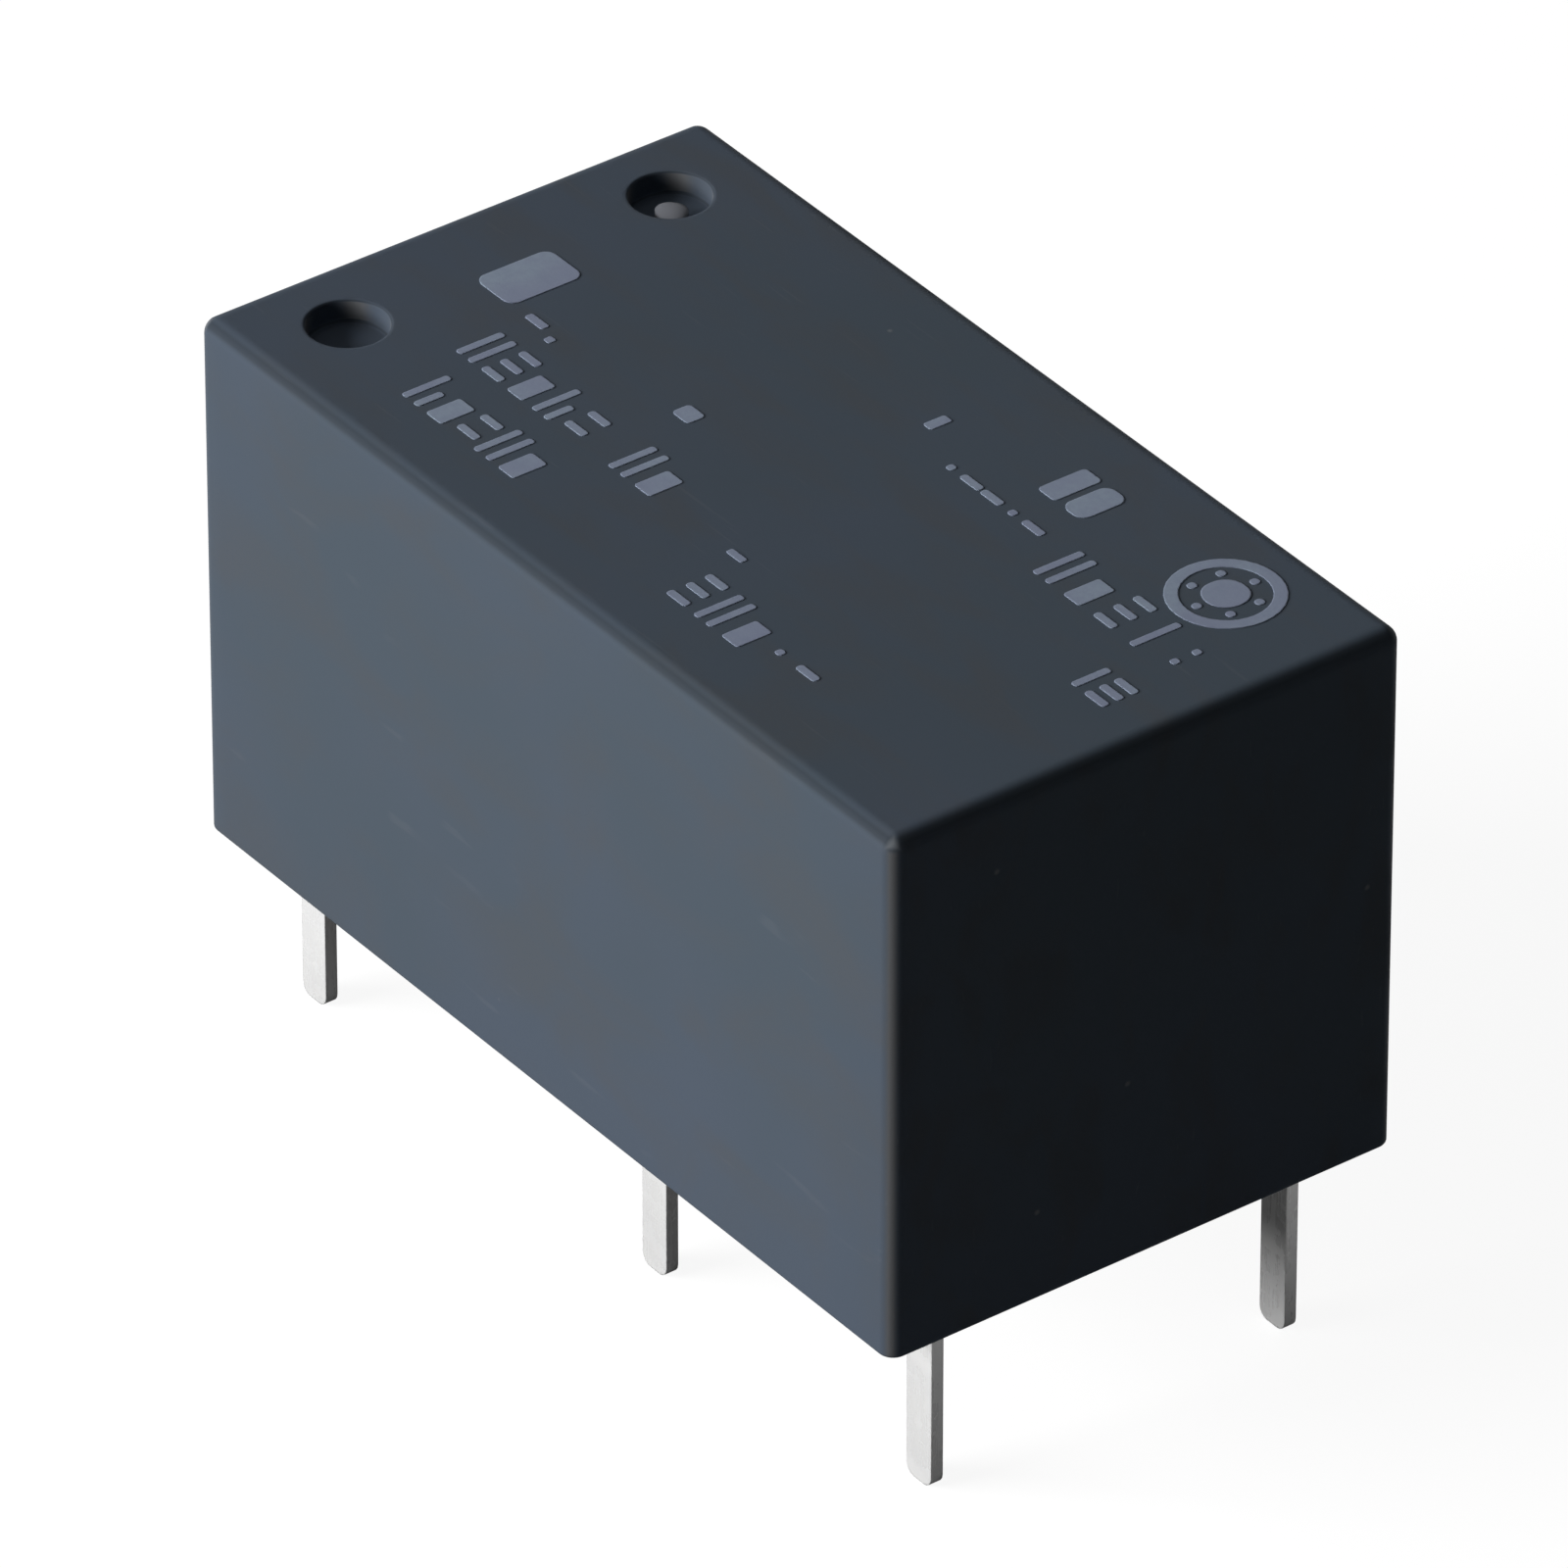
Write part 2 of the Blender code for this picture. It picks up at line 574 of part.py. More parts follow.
def make_rivet(name, parent, mat, sheet_thickness):
    """A contact rivet with its crowned face down: head, shank through the sheet, staked end above."""
    grip = sheet_thickness + 2 * SEAT_GAP
    head = CONTACT_DIAMETER / 2
    shank = CONTACT_SHANK_DIAMETER / 2
    stake = shank + CONTACT_STAKE_LIP
    stake_top = grip + CONTACT_STAKE_HEIGHT
    crown_z = CONTACT_CROWN - CONTACT_HEIGHT
    bevel = CONTACT_STAKE_CHAMFER
    crown = [(x, crown_z + CONTACT_CROWN * y / head) for x, y in arc(0, 0, head, 0, -90)]
    profile = (
        [(0, stake_top), (stake - bevel, stake_top), (stake, stake_top - bevel), (stake, grip)]
        + [(shank, grip), (shank, 0), (head, 0)]
        + crown
    )
    return turned(name, profile, mat, parent, SMALL_ROUND_STEPS)


def make_moving_spring(name, parent, mat):
    """A flat leaf: clamped tail, waisted neck and a round eye for its contact. The origin is its root."""
    tail = COMMON_BLADE_WIDTH - SEAT_GAP
    half = SPRING_WIDTH / 2
    neck = SPRING_NECK_WIDTH / 2
    neck_x = SPRING_SHOULDER_LENGTH + SPRING_TAPER_LENGTH
    eye = SPRING_EYE_DIAMETER / 2
    eye_x = CONTACT_X - SPRING_ROOT_X
    opening = math.degrees(math.asin(neck / eye))
    outline = (
        arc(eye_x, 0, eye, opening - 180, 180 - opening, SMALL_ROUND_STEPS)
        + [(neck_x, neck), (SPRING_SHOULDER_LENGTH, half), (-tail, half)]
        + [(-tail, -half), (SPRING_SHOULDER_LENGTH, -half), (neck_x, -neck)]
    )
    hole = circle(eye_x, 0, CONTACT_SHANK_DIAMETER / 2 + SEAT_GAP, SMALL_ROUND_STEPS)
    return prism(name, [outline, hole], 0, SPRING_THICKNESS, "XY", mat, parent)


def make_bobbin(mat):
    """Two flanges on a hollow barrel, with a notch at each side of the rear flange for a lead."""
    foot_z = COIL_AXIS_Z - FLANGE_HEIGHT / 2
    head_z = COIL_AXIS_Z + FLANGE_HEIGHT / 2
    flange_y = FLANGE_WIDTH / 2
    outline = rounded_rectangle(-flange_y, flange_y, foot_z, head_z, FLANGE_CORNER_RADIUS)
    rear_x = BOBBIN_REAR_X + FLANGE_THICKNESS
    front_x = BOBBIN_FRONT_X - FLANGE_THICKNESS
    bobbin = prism("bobbin", [outline], BOBBIN_REAR_X, rear_x, "YZ", mat)
    front = prism("bobbin_front_flange", [outline], front_x, BOBBIN_FRONT_X, "YZ")
    boolean(bobbin, front, "UNION")
    barrel = cylinder("bobbin_barrel", BARREL_DIAMETER / 2, (rear_x - CUT_MARGIN, 0, COIL_AXIS_Z),
                      (front_x + CUT_MARGIN, 0, COIL_AXIS_Z))
    boolean(bobbin, barrel, "UNION")
    bore = cylinder("bobbin_bore", CORE_DIAMETER / 2 + SEAT_GAP, (BOBBIN_REAR_X - CUT_MARGIN, 0, COIL_AXIS_Z),
                    (BOBBIN_FRONT_X + CUT_MARGIN, 0, COIL_AXIS_Z))
    boolean(bobbin, bore, "DIFFERENCE")
    notch_y = min(LEAD_START_Y, LEAD_EXIT_Y) - WIRE_DIAMETER / 2 - LEAD_NOTCH_MARGIN
    notch_z = LEAD_NOTCH_HEIGHT / 2
    for side, tag in SIDES:
        low_y, high_y = across(side, notch_y, flange_y + CUT_MARGIN)
        notch = box(f"lead_notch_{tag}", (BOBBIN_REAR_X - CUT_MARGIN, low_y, LEAD_Z - notch_z),
                    (rear_x + CUT_MARGIN, high_y, LEAD_Z + notch_z))
        boolean(bobbin, notch, "DIFFERENCE")
    return bobbin


def make_sleeve(name, outer, inner, mat):
    """A tube round the coil's axis, between the bobbin's flanges."""
    outlines = [
        circle(0, COIL_AXIS_Z, outer, LARGE_ROUND_STEPS),
        circle(0, COIL_AXIS_Z, inner, LARGE_ROUND_STEPS),
    ]
    inset = FLANGE_THICKNESS + SEAT_GAP
    return prism(name, outlines, BOBBIN_REAR_X + inset, BOBBIN_FRONT_X - inset, "YZ", mat)


def make_core(mat):
    """The iron rod: pole face at the front, tail staked through the yoke at the rear."""
    pole = POLE_DIAMETER / 2
    rod = CORE_DIAMETER / 2
    tail = CORE_TAIL_DIAMETER / 2
    pole_x = BOBBIN_FRONT_X + SEAT_GAP
    shoulder_x = YOKE_REAR_X + YOKE_THICKNESS + SEAT_GAP
    tail_x = YOKE_REAR_X - CORE_TAIL_STAND
    profile = [
        (0, POLE_FACE_X), (pole - POLE_CHAMFER, POLE_FACE_X), (pole, POLE_FACE_X - POLE_CHAMFER),
        (pole, pole_x), (rod, pole_x), (rod, shoulder_x), (tail, shoulder_x),
        (tail, tail_x + CORE_TAIL_CHAMFER), (tail - CORE_TAIL_CHAMFER, tail_x), (0, tail_x),
    ]
    core = turned("core", profile, mat)
    core.location = (0, 0, COIL_AXIS_Z)
    core.rotation_euler = (0, math.radians(90), 0)
    return core


def stud_spot(side):
    """Where a stud stands, seen from above."""
    return Vector((PIVOT.x - HINGE_LEAF_LENGTH + STUD_FROM_LEAF_END, side * STUD_SPACING / 2))


def make_yoke(mat):
    """The stamped iron L behind and above the coil, with two studs staked over the hinge spring."""
    rear = YOKE_REAR_X
    leg = rear + YOKE_THICKNESS
    under = YOKE_TOP_Z - YOKE_THICKNESS
    outline = (
        [(rear, FLOOR_Z + SEAT_GAP), (leg, FLOOR_Z + SEAT_GAP)]
        + arc(leg + YOKE_INNER_RADIUS, under - YOKE_INNER_RADIUS, YOKE_INNER_RADIUS, 180, 90)
        + [(POLE_FACE_X, under), (POLE_FACE_X, YOKE_TOP_Z)]
        + arc(rear + YOKE_OUTER_RADIUS, YOKE_TOP_Z - YOKE_OUTER_RADIUS, YOKE_OUTER_RADIUS, 90, 180)
    )
    yoke = prism("yoke", [outline], -YOKE_WIDTH / 2, YOKE_WIDTH / 2, "XZ", mat)
    hole = cylinder("yoke_hole", CORE_TAIL_DIAMETER / 2 + SEAT_GAP,
                    (rear - CUT_MARGIN, 0, COIL_AXIS_Z), (leg + CUT_MARGIN, 0, COIL_AXIS_Z))
    boolean(yoke, hole, "DIFFERENCE")
    head = STUD_HEAD_DIAMETER / 2
    shank = STUD_DIAMETER / 2
    head_z = HINGE_LEAF_THICKNESS + 2 * SEAT_GAP
    top_z = head_z + STUD_HEAD_HEIGHT
    profile = [
        (0, top_z), (head - STUD_HEAD_CHAMFER, top_z), (head, top_z - STUD_HEAD_CHAMFER), (head, head_z),
        (shank, head_z), (shank, -CUT_MARGIN), (0, -CUT_MARGIN),
    ]
    for side, tag in SIDES:
        stud = turned(f"yoke_stud_{tag}", profile, steps=SMALL_ROUND_STEPS)
        stud.location = stud_spot(side).to_3d() + Vector((0, 0, YOKE_TOP_Z))
        boolean(yoke, stud, "UNION")
    return yoke


def make_armature(axis, mat):
    """The iron knee, drawn closed with its pivot at the origin: leg down the pole, arm over the contacts."""
    inner = RESIDUAL_GAP
    outer = inner + ARMATURE_THICKNESS
    foot = COIL_AXIS_Z - POLE_DIAMETER / 2 - PIVOT.z
    arm_end = CARD_POSITION + CARD_THICKNESS + SEAT_GAP + TONGUE_PROUD
    under = -ARMATURE_THICKNESS
    outline = (
        [(inner, 0), (inner, foot - CUT_MARGIN), (outer, foot - CUT_MARGIN)]
        + arc(outer + KNEE_INNER_RADIUS, under - KNEE_INNER_RADIUS, KNEE_INNER_RADIUS, 180, 90)
        + [(arm_end, under), (arm_end, 0)]
    )
    armature = prism("armature", [outline], -SHOULDER_WIDTH / 2, SHOULDER_WIDTH / 2, "XZ", mat, axis)
    arm = ARM_WIDTH / 2
    tongue = TONGUE_WIDTH / 2
    wide = SHOULDER_WIDTH / 2 + CUT_MARGIN
    plan = [
        (inner - CUT_MARGIN, -wide), (outer, -wide), (outer, -arm), (CARD_POSITION, -arm),
        (CARD_POSITION, -tongue), (arm_end + CUT_MARGIN, -tongue), (arm_end + CUT_MARGIN, tongue),
        (CARD_POSITION, tongue), (CARD_POSITION, arm), (outer, arm), (outer, wide),
        (inner - CUT_MARGIN, wide),
    ]
    plan_blank = prism("armature_plan", [plan], foot - CUT_MARGIN, CUT_MARGIN, "XY", parent=axis)
    boolean(armature, plan_blank, "INTERSECT")
    leg = LEG_WIDTH / 2
    radius = LEG_CORNER_RADIUS
    front = (
        [(-wide, CUT_MARGIN), (-wide, -SHOULDER_HEIGHT), (-leg, -SHOULDER_HEIGHT)]
        + arc(-leg + radius, foot + radius, radius, 180, 270)
        + arc(leg - radius, foot + radius, radius, 270, 360)
        + [(leg, -SHOULDER_HEIGHT), (wide, -SHOULDER_HEIGHT), (wide, CUT_MARGIN)]
    )
    front_blank = prism("armature_front", [front], inner - CUT_MARGIN, arm_end + CUT_MARGIN, "YZ",
                        parent=axis)
    boolean(armature, front_blank, "INTERSECT")
    return armature


def make_card(axis, mat):
    """The moulded card on the arm's tongue: a beam with a window, and a foot over each spring."""
    window_low = -ARMATURE_THICKNESS - SEAT_GAP
    window_high = SEAT_GAP
    window_y = TONGUE_WIDTH / 2 + SEAT_GAP
    beam_z = CARD_BEAM_Z - PIVOT.z
    start_x = CARD_POSITION + SEAT_GAP
    spring_top = SPRING_Z + SPRING_THICKNESS - PIVOT.z
    spring_drop = (PIVOT.x + start_x - SPRING_ROOT_X) * math.tan(math.radians(SPRING_TRAVEL))
    foot_z = spring_top - spring_drop + SEAT_GAP
    foot_in = SPRING_OFFSET - CARD_FOOT_WIDTH / 2
    foot_out = SPRING_OFFSET + CARD_FOOT_WIDTH / 2
    foot_radius = CARD_FOOT_RADIUS
    half = SPRING_OFFSET + CARD_OVERHANG
    corner = CARD_CORNER_RADIUS
    outline = (
        [(foot_in, beam_z)]
        + arc(foot_in + foot_radius, foot_z + foot_radius, foot_radius, 180, 270)
        + arc(foot_out - foot_radius, foot_z + foot_radius, foot_radius, 270, 360)
        + [(foot_out, beam_z)]
        + arc(half - corner, beam_z + corner, corner, 270, 360)
        + arc(half - corner, window_low - corner, corner, 0, 90)
        + [(window_y + CARD_CHEEK, window_low), (window_y + CARD_CHEEK, window_high + CARD_ROOF)]
    )
    mirrored = [(-y, z) for y, z in reversed(outline)]
    window = rectangle(-window_y, window_y, window_low, window_high)
    end_x = start_x + CARD_THICKNESS
    return prism("pusher_card", [outline + mirrored, window], start_x, end_x, "YZ", mat, axis)


def open_pose(x, z):
    """A point of the closed armature, carried to where it lies with the relay at rest."""
    turn = math.radians(-ARMATURE_TRAVEL)
    across_x = x * math.cos(turn) + z * math.sin(turn)
    up_z = z * math.cos(turn) - x * math.sin(turn)
    return (PIVOT.x + across_x, PIVOT.z + up_z)


def make_hinge_spring(mat):
    """The leaf on the yoke: a tail under the studs and a fork bent down over the armature's shoulders."""
    outer = RESIDUAL_GAP + ARMATURE_THICKNESS
    rest_z = YOKE_TOP_Z + SEAT_GAP
    tail_x = PIVOT.x - HINGE_LEAF_LENGTH
    prong = outer + SEAT_GAP
    path = [(tail_x, rest_z), (PIVOT.x - HINGE_BEND_SETBACK, rest_z)]
    path += [open_pose(x, z) for x, z in arc(outer, 0, SEAT_GAP, 90, 0)]
    path += [
        open_pose(prong, -HINGE_PRONG_LENGTH),
        open_pose(prong + HINGE_TOE_LIFT, -HINGE_PRONG_LENGTH - HINGE_TOE_LENGTH),
    ]
    half = HINGE_FORK_WIDTH / 2
    leaf = prism("hinge_spring", [sheet(path, HINGE_LEAF_THICKNESS)], -half, half, "XZ", mat)
    slot = ARM_WIDTH / 2 + CUT_MARGIN
    low_z = PIVOT.z - HINGE_PRONG_LENGTH - HINGE_TOE_LENGTH - CUT_MARGIN
    high_z = PIVOT.z + HINGE_PRONG_LENGTH
    fork = box("hinge_fork_slot", (PIVOT.x - CUT_MARGIN, -slot, low_z),
               (PIVOT.x + HINGE_LEAF_LENGTH, slot, high_z))
    boolean(leaf, fork, "DIFFERENCE")
    for side, tag in SIDES:
        low_y, high_y = across(side, HINGE_TAIL_WIDTH / 2, half + CUT_MARGIN)
        trim = box(f"hinge_tail_trim_{tag}", (tail_x - CUT_MARGIN, low_y, low_z),
                   (PIVOT.x - HINGE_FORK_ROOT, high_y, high_z))
        boolean(leaf, trim, "DIFFERENCE")
        spot = stud_spot(side)
        hole = cylinder(f"hinge_stud_hole_{tag}", STUD_DIAMETER / 2 + SEAT_GAP, (*spot, low_z),
                        (*spot, high_z), SMALL_ROUND_STEPS)
        boolean(leaf, hole, "DIFFERENCE")
    return leaf


def make_lead(name, side, mat):
    """The winding's end: off the coil, through the flange's notch and round the terminal's post."""
    flange_x = BOBBIN_REAR_X + FLANGE_THICKNESS
    wrap = math.hypot(COIL_POST_WIDTH / 2, TERMINAL_THICKNESS / 2) + SEAT_GAP + WIRE_DIAMETER / 2
    points = [
        (flange_x + 3 * WIRE_DIAMETER, LEAD_START_Y, LEAD_Z),
        (flange_x, LEAD_START_Y, LEAD_Z),
        (BOBBIN_REAR_X - WIRE_DIAMETER / 2, LEAD_EXIT_Y, LEAD_Z),
    ]
    for i in range(WIRE_TURNS * WIRE_STEPS + 1):
        turn = 2 * math.pi * i / WIRE_STEPS
        drop = WIRE_DIAMETER + WIRE_TURN_PITCH * i / WIRE_STEPS
        points.append((COIL_PIN_X + wrap * math.cos(turn), ROW_Y + wrap * math.sin(turn), LEAD_Z - drop))
    curve = bpy.data.curves.new(name, "CURVE")
    curve.dimensions = "3D"
    curve.bevel_depth = WIRE_DIAMETER / 2
    curve.bevel_resolution = 1
    curve.use_fill_caps = True
    curve.materials.append(mat)
    spline = curve.splines.new("POLY")
    spline.points.add(len(points) - 1)
    for point, (x, y, z) in zip(spline.points, points):
        point.co = (x, side * y, z, 1)
    lead = bpy.data.objects.new(name, curve)
    parts.objects.link(lead)
    return lead


def axis_empty(name, location, tilt=0.0):
    empty = bpy.data.objects.new(name, None)
    empty.location = location
    empty.rotation_euler = (0, math.radians(tilt), 0)
    empty.empty_display_size = 0.002
    parts.objects.link(empty)
    return empty


def build():
    black = material("case_moulding", (0.045, 0.049, 0.057), 0.42)
    base_black = material("base_moulding", (0.028, 0.029, 0.032), 0.5)
    resin = material("resin", (0.035, 0.033, 0.030), 0.3)
    tin = material("tinned_copper", (0.72, 0.72, 0.70), 0.3, 1.0)
    iron = material("nickel_plated_iron", (0.52, 0.51, 0.49), 0.35, 1.0)
    phenolic = material("bobbin_moulding", (0.05, 0.05, 0.055), 0.5)
    enamel = material("enamelled_copper", (0.55, 0.18, 0.06), 0.35, 0.8)
    tape = material("polyester_tape", (0.75, 0.52, 0.08), 0.3)
    card = material("card_moulding", (0.78, 0.77, 0.72), 0.45)
    bronze = material("spring_bronze", (0.72, 0.42, 0.22), 0.3, 1.0)
    silver = material("contact_silver", (0.80, 0.79, 0.77), 0.22, 1.0)
    steel = material("spring_steel", (0.60, 0.60, 0.61), 0.28, 1.0)

    make_case(black)
    make_base(base_black)
    make_resin(resin)
    make_yoke(iron)
    make_core(iron)
    make_bobbin(phenolic)
    make_sleeve("winding", WINDING_DIAMETER / 2, BARREL_DIAMETER / 2 + SEAT_GAP, enamel)
    tape_inner = WINDING_DIAMETER / 2 + SEAT_GAP
    make_sleeve("insulation_tape", tape_inner + TAPE_THICKNESS, tape_inner, tape)

    armature_axis = axis_empty("armature_axis", PIVOT, -ARMATURE_TRAVEL)
    make_armature(armature_axis, iron)
    make_card(armature_axis, card)
    make_hinge_spring(steel)

    for side, tag in SIDES:
        make_coil_terminal(f"coil_terminal_{tag}", side, tin)
        make_lead(f"coil_lead_{tag}", side, enamel)
        make_folded_terminal(f"common_terminal_{tag}", side, COMMON_PIN_X, COMMON_BLADE_X,
                             COMMON_BLADE_WIDTH, COMMON_TAB_Z, False, tin)
        make_folded_terminal(f"fixed_terminal_{tag}", side, FIXED_PIN_X, FIXED_BLADE_X,
                             FIXED_BLADE_WIDTH, FIXED_SHELF_Z, True, tin)
        root = axis_empty(f"spring_root_{tag}", (SPRING_ROOT_X, side * SPRING_OFFSET, SPRING_Z))
        make_moving_spring(f"moving_spring_{tag}", root, bronze)
        moving = make_rivet(f"moving_contact_{tag}", root, silver, SPRING_THICKNESS)
        moving.location = (CONTACT_X - SPRING_ROOT_X, 0, -SEAT_GAP)
        fixed = make_rivet(f"fixed_contact_{tag}", None, silver, TERMINAL_THICKNESS)
        fixed.location = (CONTACT_X, side * SPRING_OFFSET, FIXED_SHELF_Z + SEAT_GAP)
        fixed.rotation_euler = (math.radians(180), 0, 0)


clear_scene()
parts = new_collection("pcb_power_relay")
cutters = new_collection("cutters")
build()
bpy.context.view_layer.update()
for part in [obj for obj in parts.objects if obj.type == "MESH" and obj.modifiers]:
    settle(part)
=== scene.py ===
# Looks of a sealed double-pole relay for printed circuits: case, print, resin, coil, contacts and pins.
# Lengths are in metres. X runs along the case to the contact end, and the pins stand on Z = 0.
import math

import bmesh
import bpy
import numpy as np
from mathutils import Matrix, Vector


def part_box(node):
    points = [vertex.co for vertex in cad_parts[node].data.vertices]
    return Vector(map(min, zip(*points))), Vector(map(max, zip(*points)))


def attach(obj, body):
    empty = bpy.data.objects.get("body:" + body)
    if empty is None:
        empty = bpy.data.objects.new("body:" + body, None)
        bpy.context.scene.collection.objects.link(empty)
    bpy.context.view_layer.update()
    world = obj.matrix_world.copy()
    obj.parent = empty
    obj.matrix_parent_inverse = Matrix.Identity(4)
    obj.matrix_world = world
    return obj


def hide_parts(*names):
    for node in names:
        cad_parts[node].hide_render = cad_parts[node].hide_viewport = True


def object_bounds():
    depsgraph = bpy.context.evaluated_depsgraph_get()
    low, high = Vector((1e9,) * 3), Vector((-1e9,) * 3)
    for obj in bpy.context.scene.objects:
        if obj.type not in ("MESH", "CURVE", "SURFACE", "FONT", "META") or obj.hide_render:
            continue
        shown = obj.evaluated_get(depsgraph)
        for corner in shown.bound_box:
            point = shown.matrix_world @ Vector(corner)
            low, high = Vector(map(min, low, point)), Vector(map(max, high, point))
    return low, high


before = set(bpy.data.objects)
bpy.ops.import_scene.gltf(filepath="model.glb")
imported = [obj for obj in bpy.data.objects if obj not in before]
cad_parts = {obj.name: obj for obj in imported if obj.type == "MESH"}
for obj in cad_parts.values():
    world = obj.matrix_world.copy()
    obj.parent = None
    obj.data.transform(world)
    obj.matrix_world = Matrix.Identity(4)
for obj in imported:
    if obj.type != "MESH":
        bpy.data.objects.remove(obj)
cadLow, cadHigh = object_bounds()
scene = bpy.context.scene
scene.view_settings.view_transform = "Standard"
print("frame loaded:", len(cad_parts), "nodes")


# Camera, floor and light

camera = {
    "azimuth": 53.443,          # degrees, from the -Y side towards +X
    "elevation": 34.425,
    "aim": (0.000340, -0.000457, 0.008279),
    "distance": 0.337243,
    "lens": 450,                # millimetres, as the sensor
    "sensor": 36,
    "near": 0.01,
    "far": 10,
}


# Unit vector from the object to a place in the studio, from its two angles in degrees.
def towards(azimuth, elevation):
    a, e = math.radians(azimuth), math.radians(elevation)
    return Vector((math.sin(a) * math.cos(e), -math.cos(a) * math.cos(e), math.sin(e)))


def aimAt(thing, aim, azimuth, elevation, distance):
    back = towards(azimuth, elevation)
    thing.location = Vector(aim) + back * distance
    thing.rotation_euler = (-back).to_track_quat("-Z", "Y").to_euler()
    scene.collection.objects.link(thing)


def makeCamera(look):
    data = bpy.data.cameras.new("camera")
    data.lens = look["lens"]
    data.sensor_width = look["sensor"]
    data.clip_start, data.clip_end = look["near"], look["far"]
    eye = bpy.data.objects.new("camera", data)
    aimAt(eye, look["aim"], look["azimuth"], look["elevation"], look["distance"])
    scene.camera = eye


# level is how bright a white face turned to the lamp becomes
lamps = {
    "key": {"azimuth": -26, "elevation": 20, "distance": 0.40, "size": (0.26, 0.16), "level": 1.22},
    "overhead": {"azimuth": -70, "elevation": 78, "distance": 0.45, "size": (0.22, 0.22), "level": 0.05},
}


def makeLamps(rig):
    middle = (cadLow + cadHigh) / 2
    for name, look in rig.items():
        data = bpy.data.lights.new(name, "AREA")
        data.shape = "RECTANGLE"
        data.size, data.size_y = look["size"]
        data.energy = look["level"] * math.pi ** 2 * look["distance"] ** 2
        lamp = bpy.data.objects.new(name, data)
        aimAt(lamp, middle, look["azimuth"], look["elevation"], look["distance"])


# Node helpers

# A node with its settings, and with each input either linked or given a value.
def put(tree, kind, inputs=(), **settings):
    made = tree.nodes.new(kind)
    for key, value in settings.items():
        setattr(made, key, value)
    for key, value in dict(inputs).items():
        if isinstance(value, bpy.types.NodeSocket):
            tree.links.new(value, made.inputs[key])
        else:
            made.inputs[key].default_value = value
    return made


def calc(tree, operation, a, b=0.0):
    return put(tree, "ShaderNodeMath", {0: a, 1: b}, operation=operation).outputs[0]


def times(tree, a, b):
    return calc(tree, "MULTIPLY", a, b)


# Smooth step of value between low and high, carried to fromValue..toValue.
def fade(tree, value, low, high, fromValue=0.0, toValue=1.0):
    sockets = {"Value": value, "From Min": low, "From Max": high, "To Min": fromValue, "To Max": toValue}
    return put(tree, "ShaderNodeMapRange", sockets, interpolation_type="SMOOTHSTEP").outputs[0]


# The first colour at share 0 and the second at 1, by the mix node's sockets for colours.
def blendTones(tree, share, first, second):
    return put(tree, "ShaderNodeMix", {0: share, 6: first, 7: second}, data_type="RGBA").outputs[2]


# A node group: its inputs with their values, where three numbers make a vector, and its outputs.
def newGroup(name, inputs, outputs):
    tree = bpy.data.node_groups.new(name, "ShaderNodeTree")
    for label, value in inputs.items():
        kind = "NodeSocketVector" if isinstance(value, tuple) else "NodeSocketFloat"
        tree.interface.new_socket(label, in_out="INPUT", socket_type=kind).default_value = value
    for label in outputs:
        kind = "NodeSocketVector" if label == "Normal" else "NodeSocketFloat"
        tree.interface.new_socket(label, in_out="OUTPUT", socket_type=kind)
    return tree, tree.nodes.new("NodeGroupInput").outputs, tree.nodes.new("NodeGroupOutput").inputs


# Links a group's results to its outputs and hands the group back.
def linkOut(tree, result, **values):
    for label, value in values.items():
        tree.links.new(value, result[label])
    return tree


def vectorCalc(tree, operation, a, b=(0.0, 0.0, 0.0), output=0):
    return put(tree, "ShaderNodeVectorMath", {0: a, 1: b}, operation=operation).outputs[output]


def inMillimetres(tree):
    place = put(tree, "ShaderNodeTexCoord").outputs["Object"]
    return put(tree, "ShaderNodeVectorMath", {0: place, "Scale": 1000.0}, operation="SCALE").outputs[0]


# Noise at a place, with its scale and any other sockets by name.
def noiseAt(tree, place, scale, **sockets):
    return put(tree, "ShaderNodeTexNoise", {"Vector": place, "Scale": scale, **sockets}).outputs[0]


# Shared surface effects, as node groups. Their scales are per millimetre.

# low and high end of each smooth step in them
smoothSteps = {
    "shade": (0.3, 0.7),        # from the dark to the light of a noise
    "pit": (0.05, 0.55),        # from a pit's middle to its rim
    "patch": (0.32, 0.68),
    "smear": (0.42, 0.72),
    "turned": (0.01, 0.16),     # how far the rounded normal has left the flat one
    "torn": (0.35, 0.65),
    "rounded": (0.02, 0.22),    # how far the normal's largest size is from 1
    "level": (0.04, 0.3),       # the normal's size along z, from an upright edge to a level one
    "corner": (0.14, 0.58),     # the normal's least size, from an edge to a corner
    "spotRim": (0.8, 1.1),
    "speck": (0.03, 0.13),
    "hairline": (0.66, 0.72),
    "hairPlace": (0.5, 0.62),
}


# Mould grain: a fine cloud plus shallow pits, from noise and from cells of 1.7 times its scale.
def makeGrainGroup():
    tree, given, result = newGroup("mouldGrain", {"Scale": 9.0, "Pits": 0.5}, ["Height", "Shade"])
    place = inMillimetres(tree)
    cloud = noiseAt(tree, place, given["Scale"], Detail=5.0, Roughness=0.62)
    cell = put(tree, "ShaderNodeTexVoronoi",
               {"Vector": place, "Scale": times(tree, given["Scale"], 1.7)}).outputs["Distance"]
    pit = times(tree, fade(tree, cell, *smoothSteps["pit"]), given["Pits"])
    return linkOut(tree, result, Height=calc(tree, "ADD", cloud, pit),
                   Shade=fade(tree, cloud, *smoothSteps["shade"]))


